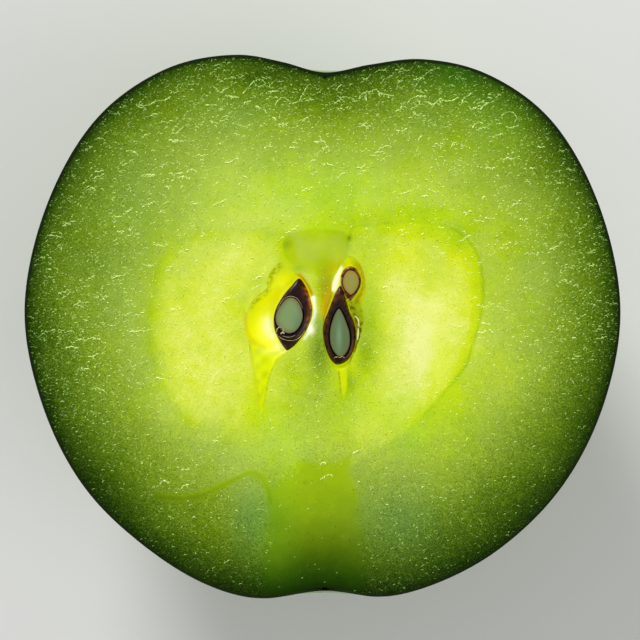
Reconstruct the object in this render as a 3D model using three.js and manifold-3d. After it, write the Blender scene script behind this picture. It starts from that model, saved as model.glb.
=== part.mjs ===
// Half of a green apple, cut lengthwise just beside its core axis. It lies on its rounded side with the cut
// face up, so the two seed chambers and the three seeds in them show.
// Millimetres, +Z up. +Y points to the stem end, +X to the right of the cut face seen from above.
// The origin is the middle of the base of the half's box, on the surface that the half rests on.
import * as THREE from "three";
import { mergeVertices } from "three/addons/utils/BufferGeometryUtils.js";
import Module from "manifold-3d";

const wasm = await Module();
wasm.setup();

// Driving dimensions.
const CUT_WIDTH = 74; // widest across the cut face
const CUT_LENGTH = 67.5; // stem end to calyx end
const AXIS_ABOVE_CUT = 4.5; // the core axis went with the other half, this far above the cut plane
const REST_DEPTH = 0.6; // how much the rounded side is flattened where it rests
const LOBE_SWELL = 0.012; // the five lobes' swell, as a share of the radius
const RIM_DIP = 1.0; // how far the stem cavity's rim dips between the two lobes behind the cut

// The cut face's outline as shares of half its width and half its length, clockwise from the stem notch.
const OUTLINE = [
  [0.008, 0.935], [0.165, 0.965], [0.33, 0.984], [0.54, 0.935], [0.757, 0.772], [0.922, 0.465],
  [1.0, 0.06], [0.937, -0.308], [0.795, -0.602], [0.588, -0.823], [0.378, -0.947], [0.205, -0.994],
  [0.008, -0.972], [-0.215, -1.0], [-0.38, -0.954], [-0.58, -0.823], [-0.792, -0.602], [-0.934, -0.308],
  [-1.0, 0.06], [-0.919, 0.465], [-0.745, 0.781], [-0.51, 0.955], [-0.284, 1.0], [-0.14, 0.975],
];
const STATIONS = 44; // steps from the stem notch to the calyx notch
const ARC_STEPS = 34; // steps round the rounded side

// Sizes of the seed chambers and seeds. Each is a pod that is widest at x, y, and tapers over stemReach and
// calyxReach to its ends. lean moves its middle sideways for each millimetre towards the stem. An end's taper
// is 0.5 where it is round, and 1 or more where it is pointed.
const CHAMBERS = [
  {
    x: -5.1, y: 2.4, halfWidth: 4.35, halfDepth: 3.3,
    stemReach: 5.7, calyxReach: 5.9, stemTaper: 0.5, calyxTaper: 0.5,
  },
  {
    x: -7.5, y: -2.2, halfWidth: 1.3, halfDepth: 1.4,
    stemReach: 3.0, calyxReach: 8.6, stemTaper: 0.5, calyxTaper: 1,
  },
  {
    x: 2.7, y: 1.5, lean: 0.08, halfWidth: 2.9, halfDepth: 3.2,
    stemReach: 7.5, calyxReach: 7.3, stemTaper: 0.5, calyxTaper: 0.45,
  },
  {
    x: 2.4, y: -4.6, halfWidth: 0.85, halfDepth: 1.0,
    stemReach: 2.0, calyxReach: 5.2, stemTaper: 0.5, calyxTaper: 1,
  },
];
const SEEDS = {
  left: {
    x: -3.7, y: 1.8, lean: 0.15, depth: 0.6, halfWidth: 2.25, halfDepth: 1.8,
    stemReach: 4.0, calyxReach: 4.5, stemTaper: 0.85, calyxTaper: 0.8, coat: 0.4, gap: 0.3,
  },
  right: {
    x: 2.35, y: -0.9, lean: 0.06, depth: 0.6, halfWidth: 1.85, halfDepth: 1.9,
    stemReach: 5.1, calyxReach: 3.7, stemTaper: 1.3, calyxTaper: 0.6, coat: 0.4, gap: 0.3,
  },
  small: {
    x: 3.8, y: 5.45, lean: 0.08, depth: 0.3, halfWidth: 1.15, halfDepth: 1.4,
    stemReach: 1.75, calyxReach: 2.1, stemTaper: 0.5, calyxTaper: 0.65, coat: 0.2, gap: 0.2, endInset: 1.2,
  },
};
const POD_STEPS = 14; // steps from one end of a pod to the other
const POD_SIDES = 16;

const fleshGreen = new THREE.MeshStandardMaterial({ color: 0xc4dc4a, roughness: 0.45, metalness: 0 });
const coatBrown = new THREE.MeshStandardMaterial({ color: 0x32140e, roughness: 0.3, metalness: 0 });
const kernelPale = new THREE.MeshStandardMaterial({ color: 0x8aa585, roughness: 0.5, metalness: 0 });

// Turns a closed surface into a solid that manifold-3d can join and cut.
function solidOf(geometry) {
  const bare = new THREE.BufferGeometry().setAttribute("position", geometry.getAttribute("position"));
  if (geometry.index) bare.setIndex(geometry.index);
  const merged = mergeVertices(bare, 1e-4);
  return new wasm.Manifold(
    new wasm.Mesh({
      numProp: 3,
      vertProperties: merged.attributes.position.array,
      triVerts: new Uint32Array(merged.index.array),
    }),
  );
}

function geometryOf(solid) {
  const { numProp, numVert, vertProperties, triVerts } = solid.getMesh();
  const positions = new Float32Array(numVert * 3);
  for (let i = 0; i < numVert; i++) {
    positions.set(vertProperties.subarray(i * numProp, i * numProp + 3), i * 3);
  }
  const geometry = new THREE.BufferGeometry();
  geometry.setAttribute("position", new THREE.BufferAttribute(positions, 3));
  geometry.setIndex(new THREE.BufferAttribute(triVerts, 1));
  geometry.computeVertexNormals();
  return geometry;
}

// A solid from a list of triangles, each of three points. Triangles that have shrunk to a line are left out.
function solidOfTriangles(triangles) {
  const whole = triangles.filter(([a, b, c]) => !a.equals(b) && !b.equals(c) && !c.equals(a));
  return solidOf(new THREE.BufferGeometry().setFromPoints(whole.flat()));
}

// Two triangles for each square of a grid of points.
function gridTriangles(rows) {
  const triangles = [];
  for (let i = 0; i + 1 < rows.length; i++) {
    for (let j = 0; j + 1 < rows[i].length; j++) {
      const [a, b, c, d] = [rows[i][j], rows[i][j + 1], rows[i + 1][j + 1], rows[i + 1][j]];
      triangles.push([a, b, c], [a, c, d]);
    }
  }
  return triangles;
}

// Everything between two heights, for cutting level faces.
const SLAB_SIDE = 200;
function slab(bottom, top) {
  const box = new THREE.BoxGeometry(SLAB_SIDE, SLAB_SIDE, top - bottom);
  return solidOf(box.translate(0, 0, (bottom + top) / 2));
}

// The rounded side, with the cut plane at height 0. Each station is an arc about the core axis, from the cut
// face's left edge to its right edge. Lobes and the rim's dip fade out at the edges, so the outline stays.
const outline = new THREE.CatmullRomCurve3(
  OUTLINE.map(([x, y]) => new THREE.Vector3((x * CUT_WIDTH) / 2, (y * CUT_LENGTH) / 2, 0)),
  true,
);
const LOBES = 5;
const rimRadius = 0.16 * CUT_WIDTH; // of the stem cavity and the calyx basin
const rimSpread = 0.6 * rimRadius;
const calyxShare = 0.25; // the calyx rim stands up this share of the stem rim's dip

function skinPoint(along, across) {
  const right = outline.getPoint(along / 2);
  const left = outline.getPoint(1 - along / 2);
  const half = (right.x - left.x) / 2;
  const radius = Math.hypot(half, AXIS_ABOVE_CUT);
  const widest = Math.acos(AXIS_ABOVE_CUT / radius);
  const angle = across * widest;
  const share = widest > 0 ? Math.sin(angle) / Math.sin(widest) : 0;
  const fade = 1 - across * across;
  const lobes = 1 - LOBE_SWELL * Math.cos(LOBES * angle) * fade * Math.sin(Math.PI * along);
  const nearRim = Math.exp(-(((radius - rimRadius) / rimSpread) ** 2));
  const dip = RIM_DIP * nearRim * fade * (right.y > 0 ? 1 : -calyxShare);
  return new THREE.Vector3(
    (left.x + right.x) / 2 + half * share,
    THREE.MathUtils.lerp(left.y, right.y, (1 + share) / 2) - dip,
    (AXIS_ABOVE_CUT - radius * Math.cos(angle)) * lobes,
  );
}

function roundedSide() {
  const rows = [];
  for (let i = 0; i <= STATIONS; i++) {
    const row = [];
    for (let j = 0; j <= ARC_STEPS; j++) row.push(skinPoint(i / STATIONS, (2 * j) / ARC_STEPS - 1));
    rows.push(row);
  }
  const rightEdge = rows.map((row) => row[ARC_STEPS]);
  const leftEdge = rows.map((row) => row[0]).slice(1, -1).reverse();
  const edge = [...rightEdge, ...leftEdge];
  for (const point of edge) point.z = 0;
  const face = THREE.ShapeUtils.triangulateShape(edge.map(({ x, y }) => new THREE.Vector2(x, y)), []);
  for (const end of [rows[0], rows[STATIONS]]) end.fill(end[ARC_STEPS]);
  const cut = face.map(([a, b, c]) => {
    const turned = new THREE.Triangle(edge[a], edge[b], edge[c]).getNormal(new THREE.Vector3()).z < 0;
    return turned ? [edge[a], edge[c], edge[b]] : [edge[a], edge[b], edge[c]];
  });
  return solidOfTriangles([...gridTriangles(rows), ...cut]);
}

// A pod: a closed almond or bowl shape whose middle lies depth below the cut plane, cut off at that plane.
// inset shrinks it by a wall all round, and its ends by endInset times as much, as pointed walls are thicker.
function pod(sizes, inset = 0) {
  const { x, y, lean = 0, depth = 0, halfWidth, halfDepth } = sizes;
  const { stemReach, calyxReach, stemTaper, calyxTaper, endInset = 2.5 } = sizes;
  const rows = [];
  for (let i = 0; i <= POD_STEPS; i++) {
    const along = -Math.cos((Math.PI * i) / POD_STEPS);
    const reach = (along > 0 ? stemReach : calyxReach) - endInset * inset;
    const fullness = Math.max(0, 1 - along * along) ** (along > 0 ? stemTaper : calyxTaper);
    const row = [];
    for (let j = 0; j <= POD_SIDES; j++) {
      const turn = (2 * Math.PI * (j % POD_SIDES)) / POD_SIDES;
      row.push(
        new THREE.Vector3(
          x + lean * along * reach + (halfWidth - inset) * fullness * Math.cos(turn),
          y + along * reach,
          -depth + (halfDepth - inset) * fullness * Math.sin(turn),
        ),
      );
    }
    rows.push(row);
  }
  for (const end of [rows[0], rows[POD_STEPS]]) end.fill(end[0]);
  return solidOfTriangles(gridTriangles(rows.reverse()));
}

function namedMesh(name, solid, material, height) {
  const mesh = new THREE.Mesh(geometryOf(solid), material);
  mesh.name = name;
  mesh.position.z = height;
  return mesh;
}

const half = new THREE.Group();
half.name = "apple_half";

// The flesh, with its skin: the rounded side, flattened where it rests, less the seed chambers.
const rounded = roundedSide();
const cutHeight = -rounded.boundingBox().min[2] - REST_DEPTH;
let flesh = rounded.subtract(slab(-SLAB_SIDE, -cutHeight));
for (const chamber of CHAMBERS) flesh = flesh.subtract(pod(chamber));
half.add(namedMesh("flesh", flesh, fleshGreen, cutHeight));

// The seeds, cut off level with the flesh: each a brown coat, open at the cut, round a pale kernel.
const aboveCut = slab(0, SLAB_SIDE);
for (const [name, seed] of Object.entries(SEEDS)) {
  const coat = pod(seed).subtract(pod(seed, seed.coat)).subtract(aboveCut);
  const kernel = pod(seed, seed.coat + seed.gap).subtract(aboveCut);
  half.add(namedMesh(`seed_${name}_coat`, coat, coatBrown, cutHeight));
  half.add(namedMesh(`seed_${name}_kernel`, kernel, kernelPale, cutHeight));
}

export default half;
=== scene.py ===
import math

import bpy
import numpy as np
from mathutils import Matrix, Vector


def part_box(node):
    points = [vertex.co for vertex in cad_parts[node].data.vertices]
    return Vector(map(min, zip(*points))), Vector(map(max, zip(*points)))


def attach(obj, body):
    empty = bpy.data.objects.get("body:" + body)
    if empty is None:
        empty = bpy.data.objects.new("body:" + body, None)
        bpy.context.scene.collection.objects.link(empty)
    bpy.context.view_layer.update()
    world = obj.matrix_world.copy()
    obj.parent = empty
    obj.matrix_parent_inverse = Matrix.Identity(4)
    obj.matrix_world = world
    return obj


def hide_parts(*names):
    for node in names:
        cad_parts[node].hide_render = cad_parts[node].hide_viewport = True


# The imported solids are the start, and everything below is fitted to them. Places on the fruit are in
# millimetres, with +Y towards the stem end, and MM turns them into the scene's metres.
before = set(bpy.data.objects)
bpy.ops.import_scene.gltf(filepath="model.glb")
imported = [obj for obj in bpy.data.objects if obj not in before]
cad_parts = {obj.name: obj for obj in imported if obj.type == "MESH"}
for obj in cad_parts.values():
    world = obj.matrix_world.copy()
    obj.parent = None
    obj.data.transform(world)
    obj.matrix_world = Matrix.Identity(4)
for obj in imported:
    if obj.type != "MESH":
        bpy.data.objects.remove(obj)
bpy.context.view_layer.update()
MM = 0.001
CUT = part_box("flesh")[1].z / MM  # height of the cut face


# ---- Camera -------------------------------------------------------------------------------------------
# It looks straight down on the cut face, with the stem end up.
VIEW_WIDTH = 79.46  # how much of the cut plane the picture spans
VIEW_CENTRE = (-0.31, 0.81)
CAMERA_ABOVE_CUT = 270.0

bpy.ops.object.select_all(action="DESELECT")
bpy.ops.object.camera_add(
    location=(VIEW_CENTRE[0] * MM, VIEW_CENTRE[1] * MM, (CUT + CAMERA_ABOVE_CUT) * MM),
    rotation=(0, 0, 0),
)
camera = bpy.context.object
camera.data.angle = 2 * math.atan(VIEW_WIDTH / 2 / CAMERA_ABOVE_CUT)
camera.data.clip_start = 0.01
bpy.context.scene.camera = camera


# ---- Flesh --------------------------------------------------------------------------------------------
# One body of pale green flesh, crisp and full of juice. The knife left it with a level face, grainy where
# cells tore, and opened two seed chambers beside the core axis.
AXIS_ABOVE_CUT = 4.5  # the core axis went with the other half
CUT_WIDTH = 74  # of the cut face, from side to side
LOBES = 5
LOBE_SWELL = 0.012  # as a share of the radius
RIM_DIP = 1.0  # of the stem cavity's rim, between the two lobes behind the cut
RIM_RADIUS = 0.16 * CUT_WIDTH  # of the stem cavity and the calyx basin
RIM_SPREAD = 0.6 * RIM_RADIUS
CALYX_SHARE = 0.25  # the calyx rim stands up by this share of the dip
PEEL_THICKNESS = 0.3
FLESH_INSET = 0.18  # the flesh reaches this far inside the peel's outer surface
FACE_DROP = 0.06  # the flesh's face lies this far below the peel's cut edge
FACE_STEPS = 150  # from the middle of the face to its edge
LOOP_STEPS = 5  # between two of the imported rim's corners
HIDDEN_STEPS = 36  # round the underside that the peel covers
CHAMBER_CUT_DEPTH = 4.2
HALF_LENGTH = 32  # about, from the middle of the cut face to its stem end
# The flesh's glow and the shade under its skin are painted light, carried in its colour.
CORE_GLOW = 0.965  # the flesh's light far in from the skin, where 1 is full light
SKIN_SHADE = 0.64  # how much darker it is under the skin, half way up
SHADE_REACH = 11  # how far in from the skin that shade reaches


def smooth_curve(points, steps, closed=True):
    """A smooth curve through flat points, with so many steps between two of them."""
    p = np.asarray(points, float)
    ends = (p[-1:], np.vstack([p[0], p[1]])) if closed else (2 * p[:1] - p[1:2], 2 * p[-1:] - p[-2:-1])
    p = np.vstack([ends[0], p, ends[1]])
    t = np.linspace(0, 1, steps, endpoint=False)[:, None]
    pieces = []
    for a, b, c, d in zip(p[:-3], p[1:-2], p[2:-1], p[3:]):
        before, here, after = (math.sqrt(np.linalg.norm(v)) for v in (b - a, c - b, d - c))
        leave = ((b - a) / before - (c - a) / (before + here) + (c - b) / here) * here
        arrive = ((c - b) / here - (d - b) / (here + after) + (d - c) / after) * here
        flow = (t**3 - 2 * t**2 + t) * leave + (t**3 - t**2) * arrive
        pieces.append((2 * t**3 - 3 * t**2 + 1) * b + (3 * t**2 - 2 * t**3) * c + flow)
    if not closed:
        pieces.append(p[-2:-1])
    return np.vstack(pieces)


def grown(loop, by):
    """A closed loop with each point moved outwards, or inwards if by is negative."""
    along = np.roll(loop, -1, axis=0) - np.roll(loop, 1, axis=0)
    out = np.stack([along[:, 1], -along[:, 0]], 1) / np.linalg.norm(along, axis=1)[:, None]
    x, y = loop.T
    area = np.sum(x * np.roll(y, -1) - y * np.roll(x, -1))
    return loop + by * math.copysign(1, area) * out


def distance_to(line, spots):
    """How far each spot lies from a line of points."""
    nearest = np.full(len(spots), np.inf)
    for a, b in zip(line[:-1], line[1:]):
        ab = b - a
        share = np.clip(((spots - a) @ ab) / max(ab @ ab, 1e-12), 0, 1)
        nearest = np.minimum(nearest, np.linalg.norm(spots - a - share[:, None] * ab, axis=1))
    return nearest


def closed_line(loop):
    """The loop with its first point again at its end."""
    return np.vstack([loop, loop[:1]])


def inside(loop, spots):
    """Whether each spot lies inside a closed loop."""
    found = np.zeros(len(spots), bool)
    x, y = spots.T
    for (ax, ay), (bx, by) in zip(loop, np.roll(loop, -1, axis=0)):
        if ay != by:
            found ^= ((ay > y) != (by > y)) & (x < (bx - ax) * (y - ay) / (by - ay) + ax)
    return found


def signed_depth(loop, spots):
    """How far each spot lies inside a closed loop; negative outside it."""
    return np.where(inside(loop, spots), 1, -1) * distance_to(closed_line(loop), spots)


def step_at(value, middle, softness):
    """0 below middle and 1 above it, with a soft change."""
    return 0.5 + 0.5 * np.tanh((value - middle) / softness / 2)


def near(distance, reach):
    """1 at no distance, with a smooth fall; almost 0 from twice the reach on."""
    return np.exp(-((distance / reach) ** 2))


def fading(distance, reach):
    """1 at no distance, with a sharp peak; about a third at the reach."""
    return np.exp(-distance / reach)


def patch(spots, x, y, wide, high):
    """A round soft patch: 1 at its middle, fading outwards."""
    return np.exp(-(((spots[:, 0] - x) / wide) ** 2) - ((spots[:, 1] - y) / high) ** 2)


def coordinates(piece):
    """A piece's vertices as rows of x, y, z in millimetres."""
    flat = np.empty(3 * len(piece.data.vertices))
    piece.data.vertices.foreach_get("co", flat)
    return flat.reshape(-1, 3) / MM


def move_to(piece, places):
    """Moves a piece's vertices to places in millimetres."""
    piece.data.vertices.foreach_set("co", (places * MM).ravel())
    piece.data.update()


def paint(piece, name, values):
    """Stores a number for each vertex, which a finish reads by this name."""
    attribute = piece.data.attributes.new(name, "FLOAT", "POINT")
    attribute.data.foreach_set("value", np.asarray(values, np.float32))


def in_edit_mode(piece, *steps):
    """Runs edit-mode operators on all of a piece."""
    bpy.ops.object.select_all(action="DESELECT")
    piece.select_set(True)
    bpy.context.view_layer.objects.active = piece
    bpy.ops.object.mode_set(mode="EDIT")
    bpy.ops.mesh.select_all(action="SELECT")
    for step in steps:
        step()
    bpy.ops.object.mode_set(mode="OBJECT")


def close_seams():
    """Merges the points that meet, and turns the faces outwards."""
    bpy.ops.mesh.remove_doubles(threshold=0.002 * MM)
    bpy.ops.mesh.normals_make_consistent(inside=False)


def formed_sheet(name, across, along, place):
    """A grid laid over a form. place turns shares across and along, from 0 to 1, into points."""
    bpy.ops.object.select_all(action="DESELECT")
    bpy.ops.mesh.primitive_grid_add(x_subdivisions=across, y_subdivisions=along, size=1)
    piece = bpy.context.object
    piece.name = name
    piece.data.name = name
    shares = coordinates(piece)[:, :2] * MM + 0.5
    move_to(piece, place(shares[:, 0], shares[:, 1]))
    return piece


def joined(name, pieces):
    """Joins pieces into one, under this name."""
    bpy.ops.object.select_all(action="DESELECT")
    for piece in pieces:
        piece.select_set(True)
    bpy.context.view_layer.objects.active = pieces[0]
    bpy.ops.object.join()
    pieces[0].name = name
    return pieces[0]


def applied(piece, kind, **settings):
    """Adds a modifier with these settings and applies it."""
    bpy.ops.object.select_all(action="DESELECT")
    piece.select_set(True)
    bpy.context.view_layer.objects.active = piece
    modifier = piece.modifiers.new(kind.lower(), kind)
    for setting, value in settings.items():
        setattr(modifier, setting, value)
    bpy.ops.object.modifier_apply(modifier=modifier.name)


def smooth_shaded(piece, degrees=50):
    """Shades a piece smoothly, but for edges sharper than this."""
    bpy.ops.object.select_all(action="DESELECT")
    piece.select_set(True)
    bpy.context.view_layer.objects.active = piece
    bpy.ops.object.shade_smooth_by_angle(angle=math.radians(degrees))


class Wire:
    """An output of a finish's nodes. Arithmetic on it adds Math nodes, and make adds any other node."""

    def __init__(self, tree, socket=None):
        self.tree = tree
        self.socket = socket

    def make(self, kind, settings=None, output=0, **inputs):
        """Adds a node, feeds its inputs with wires or numbers, and gives one of its outputs."""
        node = self.tree.nodes.new(kind)
        for setting, value in (settings or {}).items():
            if setting == "stops":
                set_stops(node.color_ramp, value)
            else:
                setattr(node, setting, value)
        sockets = {s.identifier.replace(" ", "_"): s for s in node.inputs}
        for name, value in inputs.items():
            if isinstance(value, Wire):
                self.tree.links.new(value.socket, sockets[name])
            else:
                sockets[name].default_value = value
        outputs = [s for s in node.outputs if s.enabled]
        return Wire(self.tree, outputs[output])

    def maths(self, operation, a, b=0.0, clamp=False):
        return self.make("ShaderNodeMath", {"operation": operation, "use_clamp": clamp}, Value=a, Value_001=b)

    def __add__(self, other):
        return self.maths("ADD", self, other)

    def __sub__(self, other):
        return self.maths("SUBTRACT", self, other)

    def __rsub__(self, other):
        return self.maths("SUBTRACT", other, self)

    def __mul__(self, other):
        return self.maths("MULTIPLY", self, other)

    def clipped(self):
        """Kept within 0 and 1."""
        return self.maths("ADD", self, 0.0, clamp=True)

    def attribute(self, name):
        """What paint stored under this name."""
        return self.make("ShaderNodeAttribute", {"attribute_name": name}, output=2)

    def noise(self, size, detail=2.0, offset=0.0, stretch=(1, 1, 1), twist=0.0):
        """Noise from 0 to 1 with blobs of about this size in millimetres."""
        place = self.make("ShaderNodeTexCoord", output=3)
        scale = tuple(s / (size * MM) for s in stretch)
        place = self.make("ShaderNodeMapping", Vector=place, Scale=scale, Location=(offset,) * 3)
        return self.make("ShaderNodeTexNoise", Vector=place, Scale=1.0, Detail=detail, Distortion=twist)

    def between(self, low, high):
        """0 below low, 1 above high, and smooth between."""
        settings = {"interpolation_type": "SMOOTHSTEP"}
        return self.make("ShaderNodeMapRange", settings, Value=self, From_Min=low, From_Max=high)

    def ramp(self, stops):
        """A colour from this value, by stops of a place from 0 to 1 and its colour."""
        return self.make("ShaderNodeValToRGB", {"stops": stops}, Fac=self)

    def mixed(self, other, share):
        """This colour with a share of another."""
        settings = {"data_type": "RGBA"}
        return self.make("ShaderNodeMix", settings, Factor_Float=share, A_Color=self, B_Color=other)


def colour(red, green, blue):
    """A colour from its screen values of 0 to 255, by the screen's own curve."""
    shares = [value / 255 for value in (red, green, blue)]
    linear = [s / 12.92 if s <= 10 / 255 else ((s + 0.055) / 1.055) ** 2.4 for s in shares]
    return (*linear, 1.0)


def set_stops(ramp, stops):
    while len(ramp.elements) < len(stops):
        ramp.elements.new(0.5)
    for element, (place, value) in zip(ramp.elements, stops):
        element.position = place
        element.color = value


def finish_of(piece, name, **settings):
    """Gives a piece a new material, sets its shader's own values, and returns its nodes and shader."""
    material = bpy.data.materials.new(name)
    material.use_nodes = True
    piece.data.materials.clear()
    piece.data.materials.append(material)
    shader = material.node_tree.nodes["Principled BSDF"]
    for setting, value in settings.items():
        shader.inputs[setting.replace("_", " ")].default_value = value
    return Wire(material.node_tree), shader


def feed(wire, shader, socket):
    """Lets a wire set one of a shader's values."""
    wire.tree.links.new(wire.socket, shader.inputs[socket])


def bumped(height, shader, depth, strength=1.0):
    """Feeds a height to the shader's normal, for relief of about this depth in millimetres."""
    normal = height.make("ShaderNodeBump", Height=height, Distance=depth * MM, Strength=strength)
    feed(normal, shader, "Normal")


# The rim of the cut face, clockwise from the stem notch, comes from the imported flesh.
CORE_RADIUS = 20  # the chambers' rims lie within this, and the face's rim beyond it
STEM_NOTCH = (0.3, 31.6)
corners = coordinates(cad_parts["flesh"])
level = corners[corners[:, 2] > CUT - 0.001, :2]
rim = np.unique(level[np.hypot(*level.T) > CORE_RADIUS].round(3), axis=0)
rim = rim[np.argsort(-np.arctan2(rim[:, 1], rim[:, 0]))]
notch = np.argmin(np.linalg.norm(rim - STEM_NOTCH, axis=1))
rim = np.roll(rim, -notch, axis=0)
outline = smooth_curve(rim, LOOP_STEPS)


def dome(loop, along, across):
    """Points of the rounded side, from the stem notch to the calyx notch and from left to right."""
    stations = len(loop) // 2
    right = loop[: stations + 1]
    left = np.roll(loop[::-1], 1, axis=0)[: stations + 1]
    at = along * stations
    every = np.arange(stations + 1)
    rx, ry, lx, ly = (np.interp(at, every, side) for side in (*right.T, *left.T))
    half = (rx - lx) / 2
    radius = np.hypot(half, AXIS_ABOVE_CUT)
    widest = np.arccos(AXIS_ABOVE_CUT / radius)
    turn = 2 * across - 1
    angle = turn * widest
    share = np.sin(angle) / np.maximum(np.sin(widest), 1e-9)
    fade = 1 - turn**2
    lobes = 1 - LOBE_SWELL * np.cos(LOBES * angle) * fade * np.sin(math.pi * along)
    dip = RIM_DIP * near(radius - RIM_RADIUS, RIM_SPREAD) * fade * np.where(ry > 0, 1, -CALYX_SHARE)
    x = (lx + rx) / 2 + half * share
    y = ly + (ry - ly) * (1 + share) / 2 - dip
    z = CUT + (AXIS_ABOVE_CUT - radius * np.cos(angle)) * lobes
    return np.stack([x, y, z], 1)


def settled(points, clearance=0.0):
    """Flattens what would lie lower than the fruit rests."""
    points[:, 2] = np.maximum(points[:, 2], clearance)
    return points


flesh_edge = grown(outline, -FLESH_INSET)


def face_place(across, along):
    """Rings round the middle of the cut face, out to its edge."""
    at = np.rint(across * len(flesh_edge)).astype(int) % len(flesh_edge)
    spots = flesh_edge[at] * along[:, None]
    return np.column_stack([spots, np.full(len(spots), CUT - FACE_DROP)])


def hidden_place(across, along):
    """The rounded side under the peel, whose two edges meet the face's edge."""
    points = dome(flesh_edge, along, across)
    on_face = np.abs(2 * across - 1) > 0.999
    points[on_face, 2] -= FACE_DROP
    return settled(points, FLESH_INSET)


face = formed_sheet("face", len(flesh_edge), FACE_STEPS, face_place)
underside = formed_sheet("underside", HIDDEN_STEPS, len(flesh_edge) // 2, hidden_place)
flesh = joined("apple_flesh", [face, underside])
in_edit_mode(flesh, close_seams)

# The seed chambers' rims, from their stem ends round by the left.
LEFT_CHAMBER = [
    (-4.9, 8.13), (-5.4, 7.88), (-5.9, 7.51), (-6.27, 7.02), (-6.7, 6.27), (-6.89, 5.53), (-6.89, 4.9),
    (-7.45, 4.28), (-8.07, 3.85), (-8.75, 3.1), (-9.25, 2.17), (-9.56, 1.06), (-9.68, -0.06),
    (-9.5, -1.12), (-9.19, -1.92), (-9.1, -2.92), (-9.0, -3.91), (-8.75, -5.15), (-8.6, -6.52),
    (-8.5, -7.88), (-8.33, -9.13), (-8.1, -10.2), (-7.8, -11.0), (-7.35, -10.3), (-7.08, -9.13),
    (-6.86, -8.01), (-6.65, -6.77), (-6.25, -5.46), (-5.59, -4.1), (-4.7, -3.32), (-3.75, -2.72),
    (-2.87, -1.95), (-2.15, -1.1), (-1.55, 0.19), (-1.12, 1.55), (-0.99, 2.79), (-1.12, 3.79),
    (-1.55, 4.84), (-2.23, 5.84), (-2.92, 6.46), (-3.66, 7.02), (-4.28, 7.7),
]
RIGHT_CHAMBER = [
    (3.29, 8.75), (2.79, 8.38), (2.36, 7.64), (1.92, 6.89), (1.43, 6.15), (1.12, 5.53), (1.12, 4.9),
    (1.06, 4.28), (0.81, 3.41), (0.43, 2.3), (0.12, 1.18), (0, 0.06), (0.04, -1.3), (0.19, -2.55),
    (0.5, -3.66), (0.93, -4.59), (1.49, -5.28), (1.86, -5.77), (2.02, -6.64), (2.11, -7.64), (2.15, -8.5),
    (2.36, -9.25), (2.61, -9), (2.92, -8.38), (3.17, -7.39), (3.23, -6.15), (3.27, -5.03), (3.66, -4.04),
    (4.1, -3.04), (4.47, -1.92), (4.84, -0.68), (5.09, 0.68), (5.13, 2.05), (5.19, 3.29), (5.34, 4.41),
    (5.34, 5.65), (5.09, 6.77), (4.66, 7.76), (4.04, 8.5),
]
CHAMBER_WALL = 0.14  # how thick the chambers' walls are
PLUG_RISE = 1  # how far above the cut the plugs start
WALL_OVERLAP = 0.05  # the walls' rims are let into the flesh this far
left_chamber = smooth_curve(LEFT_CHAMBER, 5)
right_chamber = smooth_curve(RIGHT_CHAMBER, 5)


def chamber_cutter(loop):
    """A plug as wide as a chamber, to cut it out of the flesh."""
    bpy.ops.object.select_all(action="DESELECT")
    bpy.ops.mesh.primitive_circle_add(vertices=len(loop), fill_type="NGON")
    plug = bpy.context.object
    move_to(plug, np.column_stack([loop, np.full(len(loop), CUT + PLUG_RISE)]))

    def lengthen():
        down = (0, 0, -(PLUG_RISE + CHAMBER_CUT_DEPTH) * MM)
        bpy.ops.mesh.extrude_region_move(TRANSFORM_OT_translate={"value": down})

    in_edit_mode(plug, lengthen, lambda: bpy.ops.mesh.select_all(action="SELECT"), close_seams)
    return plug


for loop in (left_chamber, right_chamber):
    plug = chamber_cutter(loop)
    applied(flesh, "BOOLEAN", operation="DIFFERENCE", object=plug, solver="EXACT")
    bpy.data.objects.remove(plug)

# What the face shows, as lines and outlines in millimetres: the core line on both sides and the band within
# it, the column and the bundle that run to the calyx, the pith above the seeds, the line from the stem, and
# the streak between the seeds where most light comes through.
CORE_LINE_RIGHT = [
    (3.7, 12.4), (8.5, 12.9), (13.3, 12.9), (16.5, 12.0), (19.0, 9.5), (19.85, 6.2), (19.9, 2.8),
    (19.4, 0.2), (18.6, -2.4), (17.7, -5.0), (15.6, -7.6), (13.0, -10.6), (9.8, -13.6), (6.5, -15.6),
    (3.4, -17.8),
]
CORE_LINE_LEFT = [
    (-4.4, 10.7), (-10.2, 11.6), (-16.4, 10.7), (-20.0, 7.4), (-21.2, 2.0), (-20.8, -4.2), (-18.6, -9.5),
    (-15.5, -12.6),
]
CORE_BAND = [
    (8.0, 12.6), (10.9, 12.6), (13.6, 12.2), (16.2, 11.1), (18.2, 9.3), (19.1, 6.4), (19.4, 3.2), (19.1, 0.4),
    (18.3, -2.2), (17.1, -5.6), (14.8, -9.1), (12.5, -11.9),
]
CALYX_COLUMN = [
    (-2.8, -16.8), (-1.4, -17.3), (1.5, -17.0), (3.3, -16.4), (3.6, -18.5), (4.3, -21.0), (4.7, -25.0),
    (4.5, -34.0), (-6.6, -34.0), (-6.9, -27.0), (-6.6, -22.5), (-6.1, -20.2), (-4.6, -19.2), (-3.2, -18.3),
]
CALYX_BUNDLE = [
    (-20.4, -21.1), (-19.3, -21.2), (-17.3, -21.3), (-15.4, -21.0), (-13.5, -20.3), (-11.9, -19.4),
    (-10.2, -18.6), (-9.2, -18.15), (-8.2, -18.25), (-7.35, -19.05), (-6.8, -20.2), (-6.4, -21.9),
]
PITH_CAP = [
    (-4.2, 11.3), (-4.8, 10.2), (-4.4, 8.6), (-3.4, 7.5), (-1.6, 6.7), (1.0, 6.9), (2.4, 7.7), (3.0, 9.2),
    (3.1, 10.9), (2.6, 11.6), (0.0, 11.9), (-2.4, 11.8),
]
STEM_LINE = [(4.0, 18.4), (3.4, 15.0), (3.6, 12.0), (3.3, 9.4)]
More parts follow.
